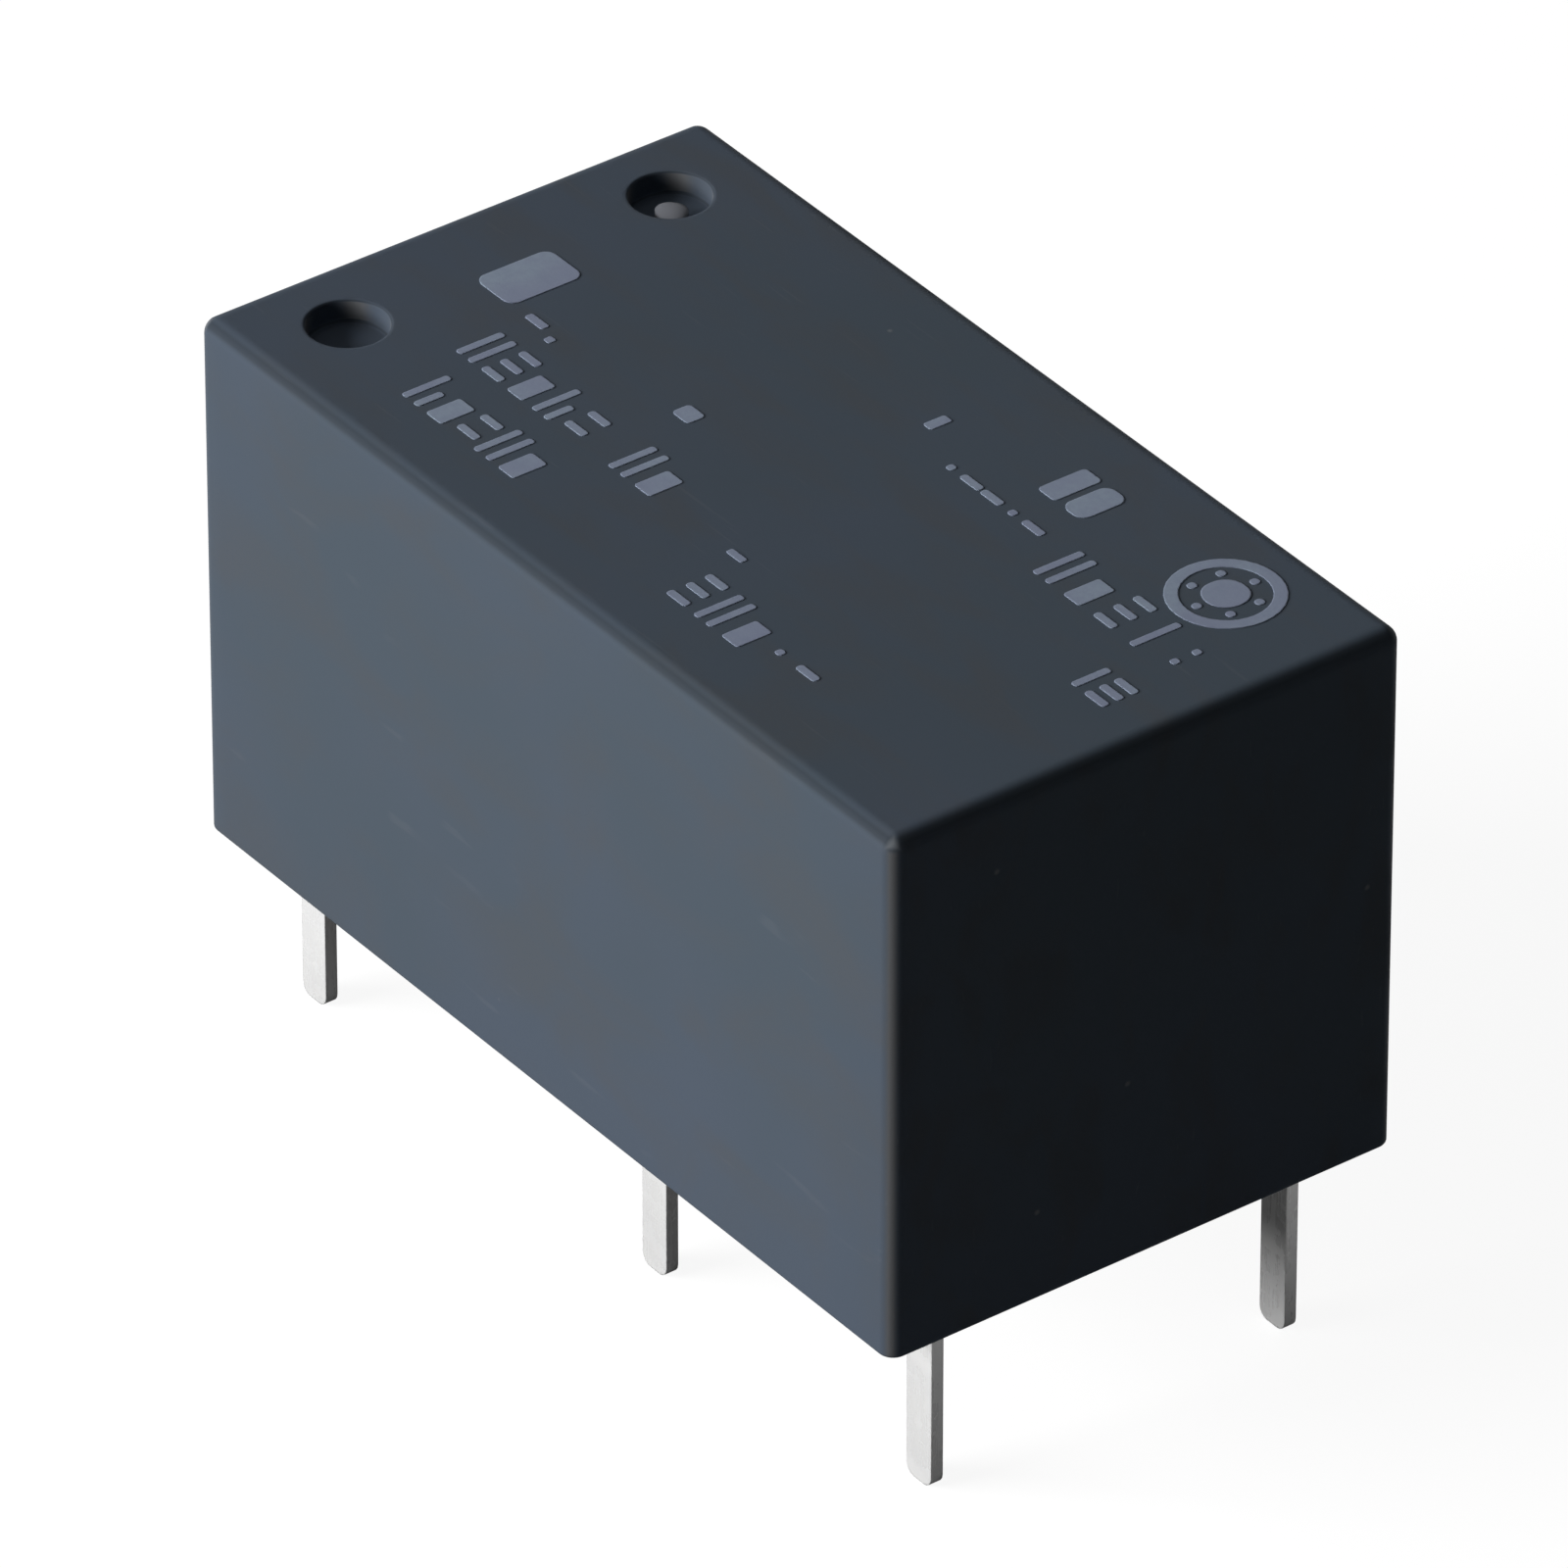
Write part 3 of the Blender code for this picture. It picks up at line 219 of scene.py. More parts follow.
# Slow cloudy variation: broad patches, and finer smears that are turned and squeezed, 2.6 times the scale.
def makePatchGroup():
    tree, given, result = newGroup("patches", {"Scale": 0.35, "Offset": (0.0, 0.0, 0.0)},
                                   ["Patch", "Smear"])
    place = vectorCalc(tree, "ADD", inMillimetres(tree), given["Offset"])
    broad = noiseAt(tree, place, given["Scale"], Detail=3.0, Roughness=0.5)
    turned = put(tree, "ShaderNodeMapping",
                 {"Vector": place, "Rotation": (0.3, 0.2, 0.6), "Scale": (1.0, 3.2, 1.6)}).outputs[0]
    smear = noiseAt(tree, turned, times(tree, given["Scale"], 2.6), Detail=4.0, Distortion=0.6)
    return linkOut(tree, result, Patch=fade(tree, broad, *smoothSteps["patch"]),
                   Smear=fade(tree, smear, *smoothSteps["smear"]))


# Edges: the normal rounded over a small radius, and a mask that is high where it leaves the flat one,
# less a torn share by noise.
def makeEdgeGroup():
    tree, given, result = newGroup("edges", {"Radius": 0.00005, "Ragged": 0.5}, ["Edge", "Normal"])
    rounded = put(tree, "ShaderNodeBevel", {"Radius": given["Radius"]}, samples=6).outputs[0]
    flat = put(tree, "ShaderNodeNewGeometry").outputs["Normal"]
    same = vectorCalc(tree, "DOT_PRODUCT", rounded, flat, "Value")
    bare = fade(tree, calc(tree, "SUBTRACT", 1.0, same), *smoothSteps["turned"])
    noise = noiseAt(tree, inMillimetres(tree), 3.5, Detail=4.0)
    torn = times(tree, fade(tree, noise, *smoothSteps["torn"]), given["Ragged"])
    kept = calc(tree, "SUBTRACT", 1.0, torn)
    return linkOut(tree, result, Edge=times(tree, bare, kept), Normal=rounded)


# Rounded edges and corners, from the normal's sizes along x, y and z: one large size is a flat face,
# two are an edge, upright where z isn't one of them, and three are a corner, which counts only beyond
# the reach given in millimetres.
# Finishes lay painted shade and painted highlights along these masks.
def makeRoundingGroup():
    tree, given, result = newGroup("rounding", {"Reach": 9.6}, ["Edge", "Upright", "Corner"])
    sizes = vectorCalc(tree, "ABSOLUTE", put(tree, "ShaderNodeNewGeometry").outputs["Normal"])
    x, y, z = put(tree, "ShaderNodeSeparateXYZ", {0: sizes}).outputs[:]
    most = calc(tree, "MAXIMUM", calc(tree, "MAXIMUM", x, y), z)
    least = calc(tree, "MINIMUM", calc(tree, "MINIMUM", x, y), z)
    edge = fade(tree, calc(tree, "SUBTRACT", 1.0, most), *smoothSteps["rounded"])
    level = fade(tree, z, *smoothSteps["level"])
    upright = calc(tree, "SUBTRACT", 1.0, level)
    placeX = put(tree, "ShaderNodeSeparateXYZ", {0: inMillimetres(tree)}).outputs[0]
    outside = calc(tree, "GREATER_THAN", calc(tree, "ABSOLUTE", placeX), given["Reach"])
    corner = fade(tree, least, *smoothSteps["corner"])
    return linkOut(tree, result, Edge=times(tree, edge, level), Upright=times(tree, edge, upright),
                   Corner=times(tree, corner, outside))


# A round spot seen from above: 1 inside its radius round a centre in millimetres, and 0 beyond it.
def makeSpotGroup():
    tree, given, result = newGroup("spot", {"Centre": (0.0, 0.0, 0.0), "Radius": 0.4}, ["Spot"])
    away = vectorCalc(tree, "SUBTRACT", inMillimetres(tree), given["Centre"])
    flat = vectorCalc(tree, "MULTIPLY", away, (1.0, 1.0, 0.0))
    share = calc(tree, "DIVIDE", vectorCalc(tree, "LENGTH", flat, output="Value"), given["Radius"])
    return linkOut(tree, result, Spot=fade(tree, share, *smoothSteps["spotRim"], 1.0, 0.0))


# Dust and scuffs: specks in a few of a pattern's cells, and hairlines from stretched noise where a broad
# noise lets them through.
def makeDustGroup():
    tree, given, result = newGroup("dust", {"Scale": 2.4, "Amount": 0.04}, ["Speck", "Scuff"])
    place = inMillimetres(tree)
    cell = put(tree, "ShaderNodeTexVoronoi", {"Vector": place, "Scale": given["Scale"]})
    small = fade(tree, cell.outputs["Distance"], *smoothSteps["speck"], 1.0, 0.0)
    chosen = put(tree, "ShaderNodeSeparateColor", {0: cell.outputs["Color"]}).outputs[0]
    rare = calc(tree, "LESS_THAN", chosen, given["Amount"])
    stretched = put(tree, "ShaderNodeMapping",
                    {"Vector": place, "Rotation": (0.1, 0.2, 0.9), "Scale": (0.25, 9.0, 2.0)}).outputs[0]
    line = fade(tree, noiseAt(tree, stretched, 1.3, Detail=2.0), *smoothSteps["hairline"])
    gate = fade(tree, noiseAt(tree, place, 0.7, Detail=1.0), *smoothSteps["hairPlace"])
    return linkOut(tree, result, Speck=times(tree, small, rare), Scuff=times(tree, line, gate))


# Rolled or drawn streaks: noise squeezed across the strip and stretched along it.
def makeStreakGroup():
    tree, given, result = newGroup("streaks", {"Stretch": (0.3, 12.0, 12.0), "Scale": 2.0},
                                   ["Height", "Shade"])
    place = vectorCalc(tree, "MULTIPLY", inMillimetres(tree), given["Stretch"])
    lines = noiseAt(tree, place, given["Scale"], Detail=6.0, Roughness=0.7)
    return linkOut(tree, result, Height=lines, Shade=fade(tree, lines, *smoothSteps["shade"]))


groups = {
    "grain": makeGrainGroup(),
    "patch": makePatchGroup(),
    "edge": makeEdgeGroup(),
    "rounding": makeRoundingGroup(),
    "spot": makeSpotGroup(),
    "dust": makeDustGroup(),
    "streak": makeStreakGroup(),
}
print("surface effects made:", ", ".join(groups))


def effect(tree, name, values):
    made = tree.nodes.new("ShaderNodeGroup")
    made.node_tree = groups[name]
    for key, value in values.items():
        made.inputs[key].default_value = value
    return made.outputs


# What a look means where it leaves something out: shares of 1, lengths in metres, and the least and most
# that an effect adds to the roughness.
plainLook = {
    "patchScale": 0.35, "offset": (0.0, 0.0, 0.0), "edgeRadius": 0.00003, "ragged": 0.6, "edgeShare": 0.4,
    "grainShare": 0.25, "grainRough": (-0.03, 0.03), "streakShare": 0.3, "streakRough": (-0.05, 0.06),
    "spotGloss": 0.2, "speckTone": (0.5, 0.5, 0.5), "scuffTone": (0.36, 0.37, 0.39), "scuffRough": 0.1,
    "bump": 0.3, "bumpDepth": 0.000004, "metallic": 0.0, "specular": 0.5, "transmission": 0.0, "ior": 1.5,
    "coat": 0.0, "coatRoughness": 0.15,
}
shaderSockets = {
    "Metallic": "metallic", "Specular IOR Level": "specular", "Transmission Weight": "transmission",
    "IOR": "ior", "Coat Weight": "coat", "Coat Roughness": "coatRoughness",
}


# The colour so far with a tone over it, at a share of the mask.
def layTone(tree, colour, mask, share, tone):
    return blendTones(tree, times(tree, mask, share), colour, (*tone, 1))


# A finish from its dictionary: two tones blended by patches, then smears, grain or streaks that also give
# the bump and vary the shine, then edges, painted shade and highlights on rounded edges and corners, a
# spot that paints a highlight, and dust. What the dictionary leaves out isn't made.
def makeFinish(name, given):
    look = {**plainLook, **given}
    material = bpy.data.materials.new(name)
    material.use_nodes = True
    tree = material.node_tree
    shader = tree.nodes["Principled BSDF"]
    second = look["secondTone"]
    patch = effect(tree, "patch", {"Scale": look["patchScale"], "Offset": look["offset"]})
    colour = blendTones(tree, patch["Patch"], (*look["tone"], 1), (*second, 1))
    if "smearTone" in look:
        colour = layTone(tree, colour, patch["Smear"], look["smearShare"], look["smearTone"])
    rough = fade(tree, patch["Smear"], 0.0, 1.0, *look["roughness"])
    for kind, sockets in (("grain", ("Scale", "Pits")), ("streak", ("Stretch", "Scale"))):
        if kind in look:
            marks = effect(tree, kind, dict(zip(sockets, look[kind])))
            height = marks["Height"]
            colour = layTone(tree, colour, marks["Shade"], look[f"{kind}Share"], second)
            change = fade(tree, marks["Shade"], 0.0, 1.0, *look[f"{kind}Rough"])
            rough = calc(tree, "ADD", rough, change)
    edge = effect(tree, "edge", {"Radius": look["edgeRadius"], "Ragged": look["ragged"]})
    if "edgeTone" in look:
        colour = layTone(tree, colour, edge["Edge"], look["edgeShare"], look["edgeTone"])
    # The rounding masks paint light and shade into the colour: painted shade along level rounded edges,
    # painted highlights up upright edges, and at the outer corners a painted highlight that also stands
    # for wear.
    if "roundTone" in look:
        rounding = effect(tree, "rounding", {})
        for mask, kind in (("Edge", "round"), ("Upright", "upright"), ("Corner", "corner")):
            colour = layTone(tree, colour, rounding[mask], look[f"{kind}Share"], look[f"{kind}Tone"])
    # A round spot of another tone and less roughness; on the case it is a painted highlight on the nib,
    # with some paler tone of the nib's own.
    if "spot" in look:
        centre, radius, tone = look["spot"]
        spot = effect(tree, "spot", {"Centre": centre, "Radius": radius})["Spot"]
        colour = blendTones(tree, spot, colour, (*tone, 1))
        rough = calc(tree, "SUBTRACT", rough, times(tree, spot, look["spotGloss"]))
    if "dust" in look:
        scale, amount, speckShare, scuffShare = look["dust"]
        dust = effect(tree, "dust", {"Scale": scale, "Amount": amount})
        colour = layTone(tree, colour, dust["Speck"], speckShare, look["speckTone"])
        colour = layTone(tree, colour, dust["Scuff"], scuffShare, look["scuffTone"])
        rough = calc(tree, "ADD", rough, times(tree, dust["Scuff"], look["scuffRough"]))
    bump = put(tree, "ShaderNodeBump", {"Height": height, "Normal": edge["Normal"],
                                        "Strength": look["bump"], "Distance": look["bumpDepth"]})
    tree.links.new(colour, shader.inputs["Base Color"])
    tree.links.new(rough, shader.inputs["Roughness"])
    tree.links.new(bump.outputs[0], shader.inputs["Normal"])
    for socket, key in shaderSockets.items():
        shader.inputs[socket].default_value = look[key]
    return material


# Finishes

# roughness is (least, most), grain (scale, pits), streak (stretch, scale), spot (centre and radius in
# millimetres, tone) and dust (scale, share of cells with a speck, shares of the specks' and scuffs' tones)
rolledStrip = {"roughness": (0.2, 0.34), "metallic": 1.0, "streak": ((0.2, 14.0, 14.0), 2.0), "bump": 0.25}
looks = {
    "caseMoulding": {
        "tone": (0.083, 0.107, 0.134), "secondTone": (0.09, 0.113, 0.15), "roughness": (0.5, 0.6),
        "patchScale": 0.12, "offset": (3.0, 0.0, 0.0), "smearTone": (0.104, 0.11, 0.118),
        "smearShare": 0.5, "grain": (10.0, 0.5), "bump": 0.22, "specular": 0.025, "edgeRadius": 0.00006,
        # painted shade: the level rounded edges darkened
        "roundTone": (0.035, 0.043, 0.052), "roundShare": 0.6,
        # painted highlight: the upright rounded edges paler
        "uprightTone": (0.16, 0.162, 0.165), "uprightShare": 0.8,
        # painted highlight and wear: the outer corners paler
        "cornerTone": (0.24, 0.26, 0.28), "cornerShare": 0.7,
        "spot": ((-7.99, 3.29, 0.0), 0.35, (0.24, 0.25, 0.28)),     # the nib: a painted highlight on its melted top, with some paler tone of its own
        "dust": (1.6, 0.012, 0.3, 0.05),
    },
    "baseMoulding": {
        "tone": (0.026, 0.027, 0.03), "secondTone": (0.034, 0.035, 0.037), "roughness": (0.5, 0.6),
        "grain": (14.0, 0.6), "bump": 0.25, "specular": 0.3, "edgeTone": (0.07, 0.07, 0.075),
    },
    "castResin": {
        "tone": (0.03, 0.028, 0.026), "secondTone": (0.042, 0.039, 0.035), "roughness": (0.26, 0.44),
        "grain": (3.0, 0.15), "bumpDepth": 0.00001, "specular": 0.22, "dust": (2.5, 0.05, 0.3, 0.05),
    },
    "platedIron": {
        "tone": (0.5, 0.49, 0.47), "secondTone": (0.58, 0.57, 0.54), "roughness": (0.26, 0.42),
        "metallic": 1.0, "streak": ((0.25, 9.0, 9.0), 2.2), "bump": 0.35, "edgeTone": (0.7, 0.69, 0.66),
        "edgeRadius": 0.00008, "dust": (3.0, 0.03, 0.2, 0.15),
    },
    "bobbinMoulding": {
        "tone": (0.045, 0.045, 0.05), "secondTone": (0.06, 0.06, 0.064), "roughness": (0.45, 0.58),
        "grain": (12.0, 0.4), "bump": 0.25, "specular": 0.35, "edgeTone": (0.1, 0.1, 0.105),
    },
    "enamelledWire": {
        "tone": (0.52, 0.15, 0.045), "secondTone": (0.64, 0.24, 0.08), "roughness": (0.22, 0.36),
        "metallic": 0.85, "streak": ((9.0, 0.4, 0.4), 3.0), "bump": 0.15, "coat": 0.5, "patchScale": 0.9,
    },
    "filmTape": {
        "tone": (0.8, 0.5, 0.06), "secondTone": (0.86, 0.6, 0.12), "roughness": (0.18, 0.32),
        "grain": (2.0, 0.1), "transmission": 0.55, "ior": 1.45, "edgeTone": (0.9, 0.7, 0.3),
    },
    "cardMoulding": {
        "tone": (0.74, 0.72, 0.66), "secondTone": (0.8, 0.78, 0.72), "roughness": (0.4, 0.52),
        "grain": (12.0, 0.3), "bump": 0.2, "edgeTone": (0.86, 0.85, 0.8),
    },
    "rolledBronze": {
        **rolledStrip,
        "tone": (0.7, 0.4, 0.2), "secondTone": (0.78, 0.49, 0.27), "edgeTone": (0.86, 0.6, 0.36),
    },
    "rolledSteel": {
        **rolledStrip,
        "tone": (0.58, 0.58, 0.6), "secondTone": (0.66, 0.66, 0.67), "edgeTone": (0.76, 0.76, 0.77),
    },
    "contactSilver": {
        "tone": (0.8, 0.79, 0.76), "secondTone": (0.7, 0.66, 0.6), "roughness": (0.16, 0.3),
        "metallic": 1.0, "grain": (8.0, 0.4), "bump": 0.15, "patchScale": 1.4,
        "edgeTone": (0.88, 0.87, 0.85),
    },
    "tinnedStrip": {
        "tone": (0.94, 0.94, 0.93), "secondTone": (0.9, 0.9, 0.9), "roughness": (0.26, 0.4),
        "metallic": 0.18, "streak": ((6.0, 6.0, 0.5), 1.2), "bump": 0.2, "bumpDepth": 0.000005,
        "edgeRadius": 0.00005, "edgeTone": (0.82, 0.82, 0.81), "patchScale": 0.8,
    },
    "padPrint": {
        "tone": (0.31, 0.38, 0.48), "secondTone": (0.27, 0.31, 0.43), "roughness": (0.5, 0.62),
        "patchScale": 0.6, "grain": (9.0, 0.5), "grainShare": 0.5, "specular": 0.2,
    },
}
finishes = {name: makeFinish(name, look) for name, look in looks.items()}
print("finishes made:", len(finishes))

# the CAD nodes that stay in sight, by finish
nodeFinishes = {
    "baseMoulding": ["base"],
    "platedIron": ["yoke", "armature"],
    "bobbinMoulding": ["bobbin"],
    "cardMoulding": ["pusher_card"],
    "rolledBronze": ["moving_spring_left", "moving_spring_right"],
    "rolledSteel": ["hinge_spring"],
    "tinnedStrip": [f"{kind}_terminal_{side}" for kind in ("fixed", "common", "coil")
                    for side in ("left", "right")],
}
for finish, members in nodeFinishes.items():
    for member in members:
        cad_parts[member].material_slots[0].material = finishes[finish]


# Meshes worked out on grids

# metres within which points are one, and edges are nothing; degrees beyond which an edge is sharp
meshShape = {"merge": 2e-8, "nothing": 1e-9, "sharpAngle": 32}


# Quads between neighbouring rows of a grid. With closed, the last column joins the first.
def gridFaces(rows, columns, closed):
    across = columns if closed else columns - 1
    r, c = np.meshgrid(np.arange(rows - 1), np.arange(across), indexing="ij")
    here, beside = r * columns + c, r * columns + (c + 1) % columns
    return np.stack([here, beside, beside + columns, here + columns], axis=-1).reshape(-1, 4)


# Rows of points with the quads between them.
def joined(rows, closed=True):
    return rows, gridFaces(len(rows), rows.shape[1], closed)


# One closed mesh from (points, faces) patches: shared points are merged and the faces turned outwards.
def makePiece(name, patches, finish, replaced, body="housing"):
    bm = bmesh.new()
    for points, faces in patches:
        mesh = bpy.data.meshes.new(name)
        mesh.from_pydata(np.asarray(points).reshape(-1, 3).tolist(), [], np.asarray(faces).tolist())
        bm.from_mesh(mesh)
        bpy.data.meshes.remove(mesh)
    bmesh.ops.remove_doubles(bm, verts=bm.verts, dist=meshShape["merge"])
    bmesh.ops.dissolve_degenerate(bm, edges=bm.edges, dist=meshShape["nothing"])
    bmesh.ops.recalc_face_normals(bm, faces=bm.faces)
    mesh = bpy.data.meshes.new(name)
    bm.to_mesh(mesh)
    bm.free()
    mesh.shade_smooth()
    mesh.set_sharp_from_angle(angle=math.radians(meshShape["sharpAngle"]))
    mesh.materials.append(finishes[finish])
    piece = bpy.data.objects.new(name, mesh)
    scene.collection.objects.link(piece)
    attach(piece, body)
    if replaced:
        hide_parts(*replaced)
    return piece


# Points at each radius and height of a profile, turned round Z: (r cos t, r sin t, h).
def lathe(profile, steps):
    turn = np.linspace(0, 2 * math.pi, steps, endpoint=False)
    radius, height = np.array(profile, float).T
    return joined(np.stack([np.outer(radius, np.cos(turn)), np.outer(radius, np.sin(turn)),
                            np.repeat(height[:, None], steps, axis=1)], axis=-1))


# (rise, run) of a quarter round: r (1 - cos a) and r (1 - sin a), from a = 0 to a right angle.
def quarter(radius, steps):
    a = np.linspace(0, math.pi / 2, steps + 1)
    return radius * (1 - np.cos(a)), radius * (1 - np.sin(a))


# Case: one moulded shell with two blind recesses in its top

caseShape = {
    "edgeRadius": 0.0003, "edgeSteps": 8,
    "rimRadius": 0.00006, "rimSteps": 4,
    "wall": 0.0006, "roof": 0.00065, "cavityRadius": 0.0002, "cavitySteps": 5,
    "hold": 0.00005,                # distance of the rows that keep the flat faces flat
    "spotFromEnd": 0.00175, "spotFromSide": 0.00195,    # middles of the recesses
    "cell": 0.00112, "innerCell": 0.00092,      # half of the squares round them, outside and inside
    "cellSteps": 16, "alongSteps": 10, "betweenSteps": 6,
    "recessRadius": 0.00075, "recessDepth": 0.00045, "lip": 0.00004, "floorRound": 0.00007,
    "roundSteps": 5, "floorRings": (0.8, 0.5, 0.25, 0.0),       # shares of the recess's radius
    "padRadius": 0.00084, "padDrop": 0.0002,    # the moulding under a recess, inside
    "nibRadius": 0.00031, "nibHeight": 0.00035, "nibSide": 0.00028, "nibFoot": 0.00002, "nibSteps": 8,
    "nibShift": (0.00026, -0.00016),    # the nib melted down towards one side of its recess
    "nibWaves": ((0.063, 2, 0.6), (0.045, 3, 2.0)),     # share of its radius, waves round it and phase
}


# A rounded rectangle: straight runs at the given lines, then a quarter round at each corner.
def ring(lines, halfX, halfY, radius, z, steps):
    xs = np.clip(lines[0], radius - halfX, halfX - radius)
    ys = np.clip(lines[1], radius - halfY, halfY - radius)
    sides = [np.stack([xs, np.full(len(xs), -halfY)]), np.stack([np.full(len(ys), halfX), ys]),
             np.stack([xs[::-1], np.full(len(xs), halfY)]), np.stack([np.full(len(ys), -halfX), ys[::-1]])]
    corners = [(1, -1), (1, 1), (-1, 1), (-1, -1)]
    turn = np.linspace(0, math.pi / 2, steps + 1)[1:-1]
    runs = []
    for quarterTurn, (side, (sx, sy)) in enumerate(zip(sides, corners)):
        a = turn + (quarterTurn - 1) * math.pi / 2
        runs += [side, np.stack([sx * (halfX - radius) + radius * np.cos(a),
                                 sy * (halfY - radius) + radius * np.sin(a)])]
    outline = np.concatenate(runs, axis=1).T
    return np.column_stack([outline, np.full(len(outline), z)])


# Lines along x and y that fall on the edges of the cells round both recesses.
def gridLines(reachX, reachY, spot, cell, shape):
    (spotX, spotY), count = spot, shape["cellSteps"] + 1
    side = np.linspace(spotY - cell, spotY + cell, count)
    xs = [[-reachX], np.linspace(spotX - cell, spotX + cell, count),
          np.linspace(spotX + cell, reachX, shape["alongSteps"] + 1)[1:]]
    ys = [[-reachY], -side[::-1], np.linspace(-side[0], side[0], shape["betweenSteps"] + 1)[1:-1], side,
          [reachY]]
    return np.concatenate(xs), np.concatenate(ys)


# The flat face between the lines, less the square cells that the recesses fill.
def flatWithCells(lines, reachX, reachY, z, steps):
    xs, ys = np.clip(lines[0], -reachX, reachX), np.clip(lines[1], -reachY, reachY)
    x, y = np.meshgrid(xs, ys, indexing="ij")
    faces = gridFaces(len(xs), len(ys), False).reshape(len(xs) - 1, len(ys) - 1, 4)
    i, j = np.meshgrid(np.arange(len(xs) - 1), np.arange(len(ys) - 1), indexing="ij")
    far = len(ys) - 2 - steps
    cells = (i >= 1) & (i < 1 + steps) & (((j >= 1) & (j < 1 + steps)) | ((j >= far) & (j < far + steps)))
    return np.stack([x, y, np.full(x.shape, z)], axis=-1), faces[~cells]


# From a square cell's edge inwards to a round profile of (radius, height), down to its centre. Where
# there is a nib, its own rings are waved and shifted.
def roundInCell(spot, cell, z, steps, profile, nib=None):
    run = np.linspace(-cell, cell, steps + 1)[:-1]
    edge = np.full(steps, cell)
    square = np.concatenate([np.stack([run, -edge]), np.stack([edge, run]),
                             np.stack([-run, edge]), np.stack([-edge, -run])], axis=1)
    turn = np.linspace(0, 2 * math.pi, 4 * steps, endpoint=False) - 0.75 * math.pi
    radius, height = np.array(profile, float).T
    radii, shift = radius[:, None] + np.zeros(4 * steps), np.zeros((len(radius), 2))
    if nib:
        ofNib = radius < nib["nibRadius"] + 1.5 * nib["nibFoot"]
        radii[ofNib] *= 1 + sum(a * np.cos(waves * turn + b) for a, waves, b in nib["nibWaves"])
        shift[ofNib] = nib["nibShift"]
    x = np.vstack([square[0], radii * np.cos(turn) + shift[:, :1]]) + spot[0]
    y = np.vstack([square[1], radii * np.sin(turn) + shift[:, 1:]]) + spot[1]
    heights = np.concatenate([[0.0], height])[:, None] + np.zeros(4 * steps) + z
    return joined(np.stack([x, y, heights], axis=-1))


# Lip, wall, rounded foot and floor of a recess, with the melted nib's dome in one of them.
def recessProfile(shape, withNib):
    radius, depth, hold, lip = (shape[k] for k in ("recessRadius", "recessDepth", "hold", "lip"))
    lipDown, lipIn = quarter(lip, shape["roundSteps"])
    footIn, footUp = quarter(shape["floorRound"], shape["roundSteps"])
    profile = [(radius + lip + hold, 0.0)]
    profile += [(radius + run, -down) for down, run in zip(lipDown, lipIn)]
    profile += [(radius, -lip - hold), (radius, -depth + shape["floorRound"] + hold)]
    profile += [(radius - inward, -depth + up) for inward, up in zip(footIn, footUp)]
    if not withNib:
        return profile + [(radius * share, -depth) for share in shape["floorRings"]]
    nib, side, rise, foot = (shape[k] for k in ("nibRadius", "nibSide", "nibHeight", "nibFoot"))
    profile += [(nib + foot, -depth), (nib, -depth + foot), (nib, -depth + side)]
    dome = np.linspace(0, math.pi / 2, shape["nibSteps"] + 1)[1:]
    return profile + [(nib * math.cos(a), -depth + side + (rise - side) * math.sin(a)) for a in dome]


def makeCase(shape):
    low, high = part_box("case")
    halfX, halfY, foot, top = high.x, high.y, low.z, high.z
    edge, rim, wall, inner = (shape[k] for k in ("edgeRadius", "rimRadius", "wall", "cavityRadius"))
    ceiling, hold, steps = top - shape["roof"], shape["hold"], shape["edgeSteps"]
    spot = (-halfX + shape["spotFromEnd"], halfY - shape["spotFromSide"])
    cells = shape["cellSteps"]
    outerLines = gridLines(halfX - edge, halfY - edge, spot, shape["cell"], shape)
    innerReach = wall + inner
    innerLines = gridLines(halfX - innerReach, halfY - innerReach, spot, shape["innerCell"], shape)
    edges = list(zip(*quarter(edge, steps)))
    rims = list(zip(*quarter(rim, shape["rimSteps"])))
    inners = list(zip(*quarter(inner, shape["cavitySteps"])))
    # each row: how far in from the walls, its corners' radius, its height, and its lines
    rows = [(edge + hold, 0.0, top, outerLines)]
    rows += [(run, edge - run, top - down, outerLines) for down, run in edges]
    rows += [(0.0, edge, top - edge - hold, outerLines), (0.0, edge, foot + rim + hold, outerLines)]
    rows += [(rise, edge - rise, foot + run, outerLines) for rise, run in rims]
    rows += [(wall - run, inner + run, foot + rise, innerLines) for rise, run in rims]
    rows += [(wall, inner, foot + rim + hold, innerLines)]
    rows += [(wall, inner, ceiling - inner - hold, innerLines)]
    rows += [(wall + rise, inner - rise, ceiling - run, innerLines) for rise, run in inners]
    rows += [(innerReach + hold, 0.0, ceiling, innerLines)]
    shell = np.stack([ring(lines, halfX - inset, halfY - inset, radius, z, steps)
                      for inset, radius, z, lines in rows])
    patches = [joined(shell)]
    for lines, reach, z in ((outerLines, edge + hold, top), (innerLines, innerReach + hold, ceiling)):
        patches.append(flatWithCells(lines, halfX - reach, halfY - reach, z, cells))
    pad, drop = shape["padRadius"], shape["padDrop"]
    padProfile = [(pad, 0.0), (pad, -drop), (pad / 2, -drop), (0.0, -drop)]
    for side, nib in ((-1, None), (1, shape)):
        middle = (spot[0], side * spot[1])
        recess = recessProfile(shape, bool(nib))
        patches.append(roundInCell(middle, shape["cell"], top, cells, recess, nib))
        patches.append(roundInCell(middle, shape["innerCell"], ceiling, cells, padProfile))
    return makePiece("case_shell", patches, "caseMoulding", ["case"])


makeCase(caseShape)
print("case made")


# Print on the top: plain shapes in the places of the real marks

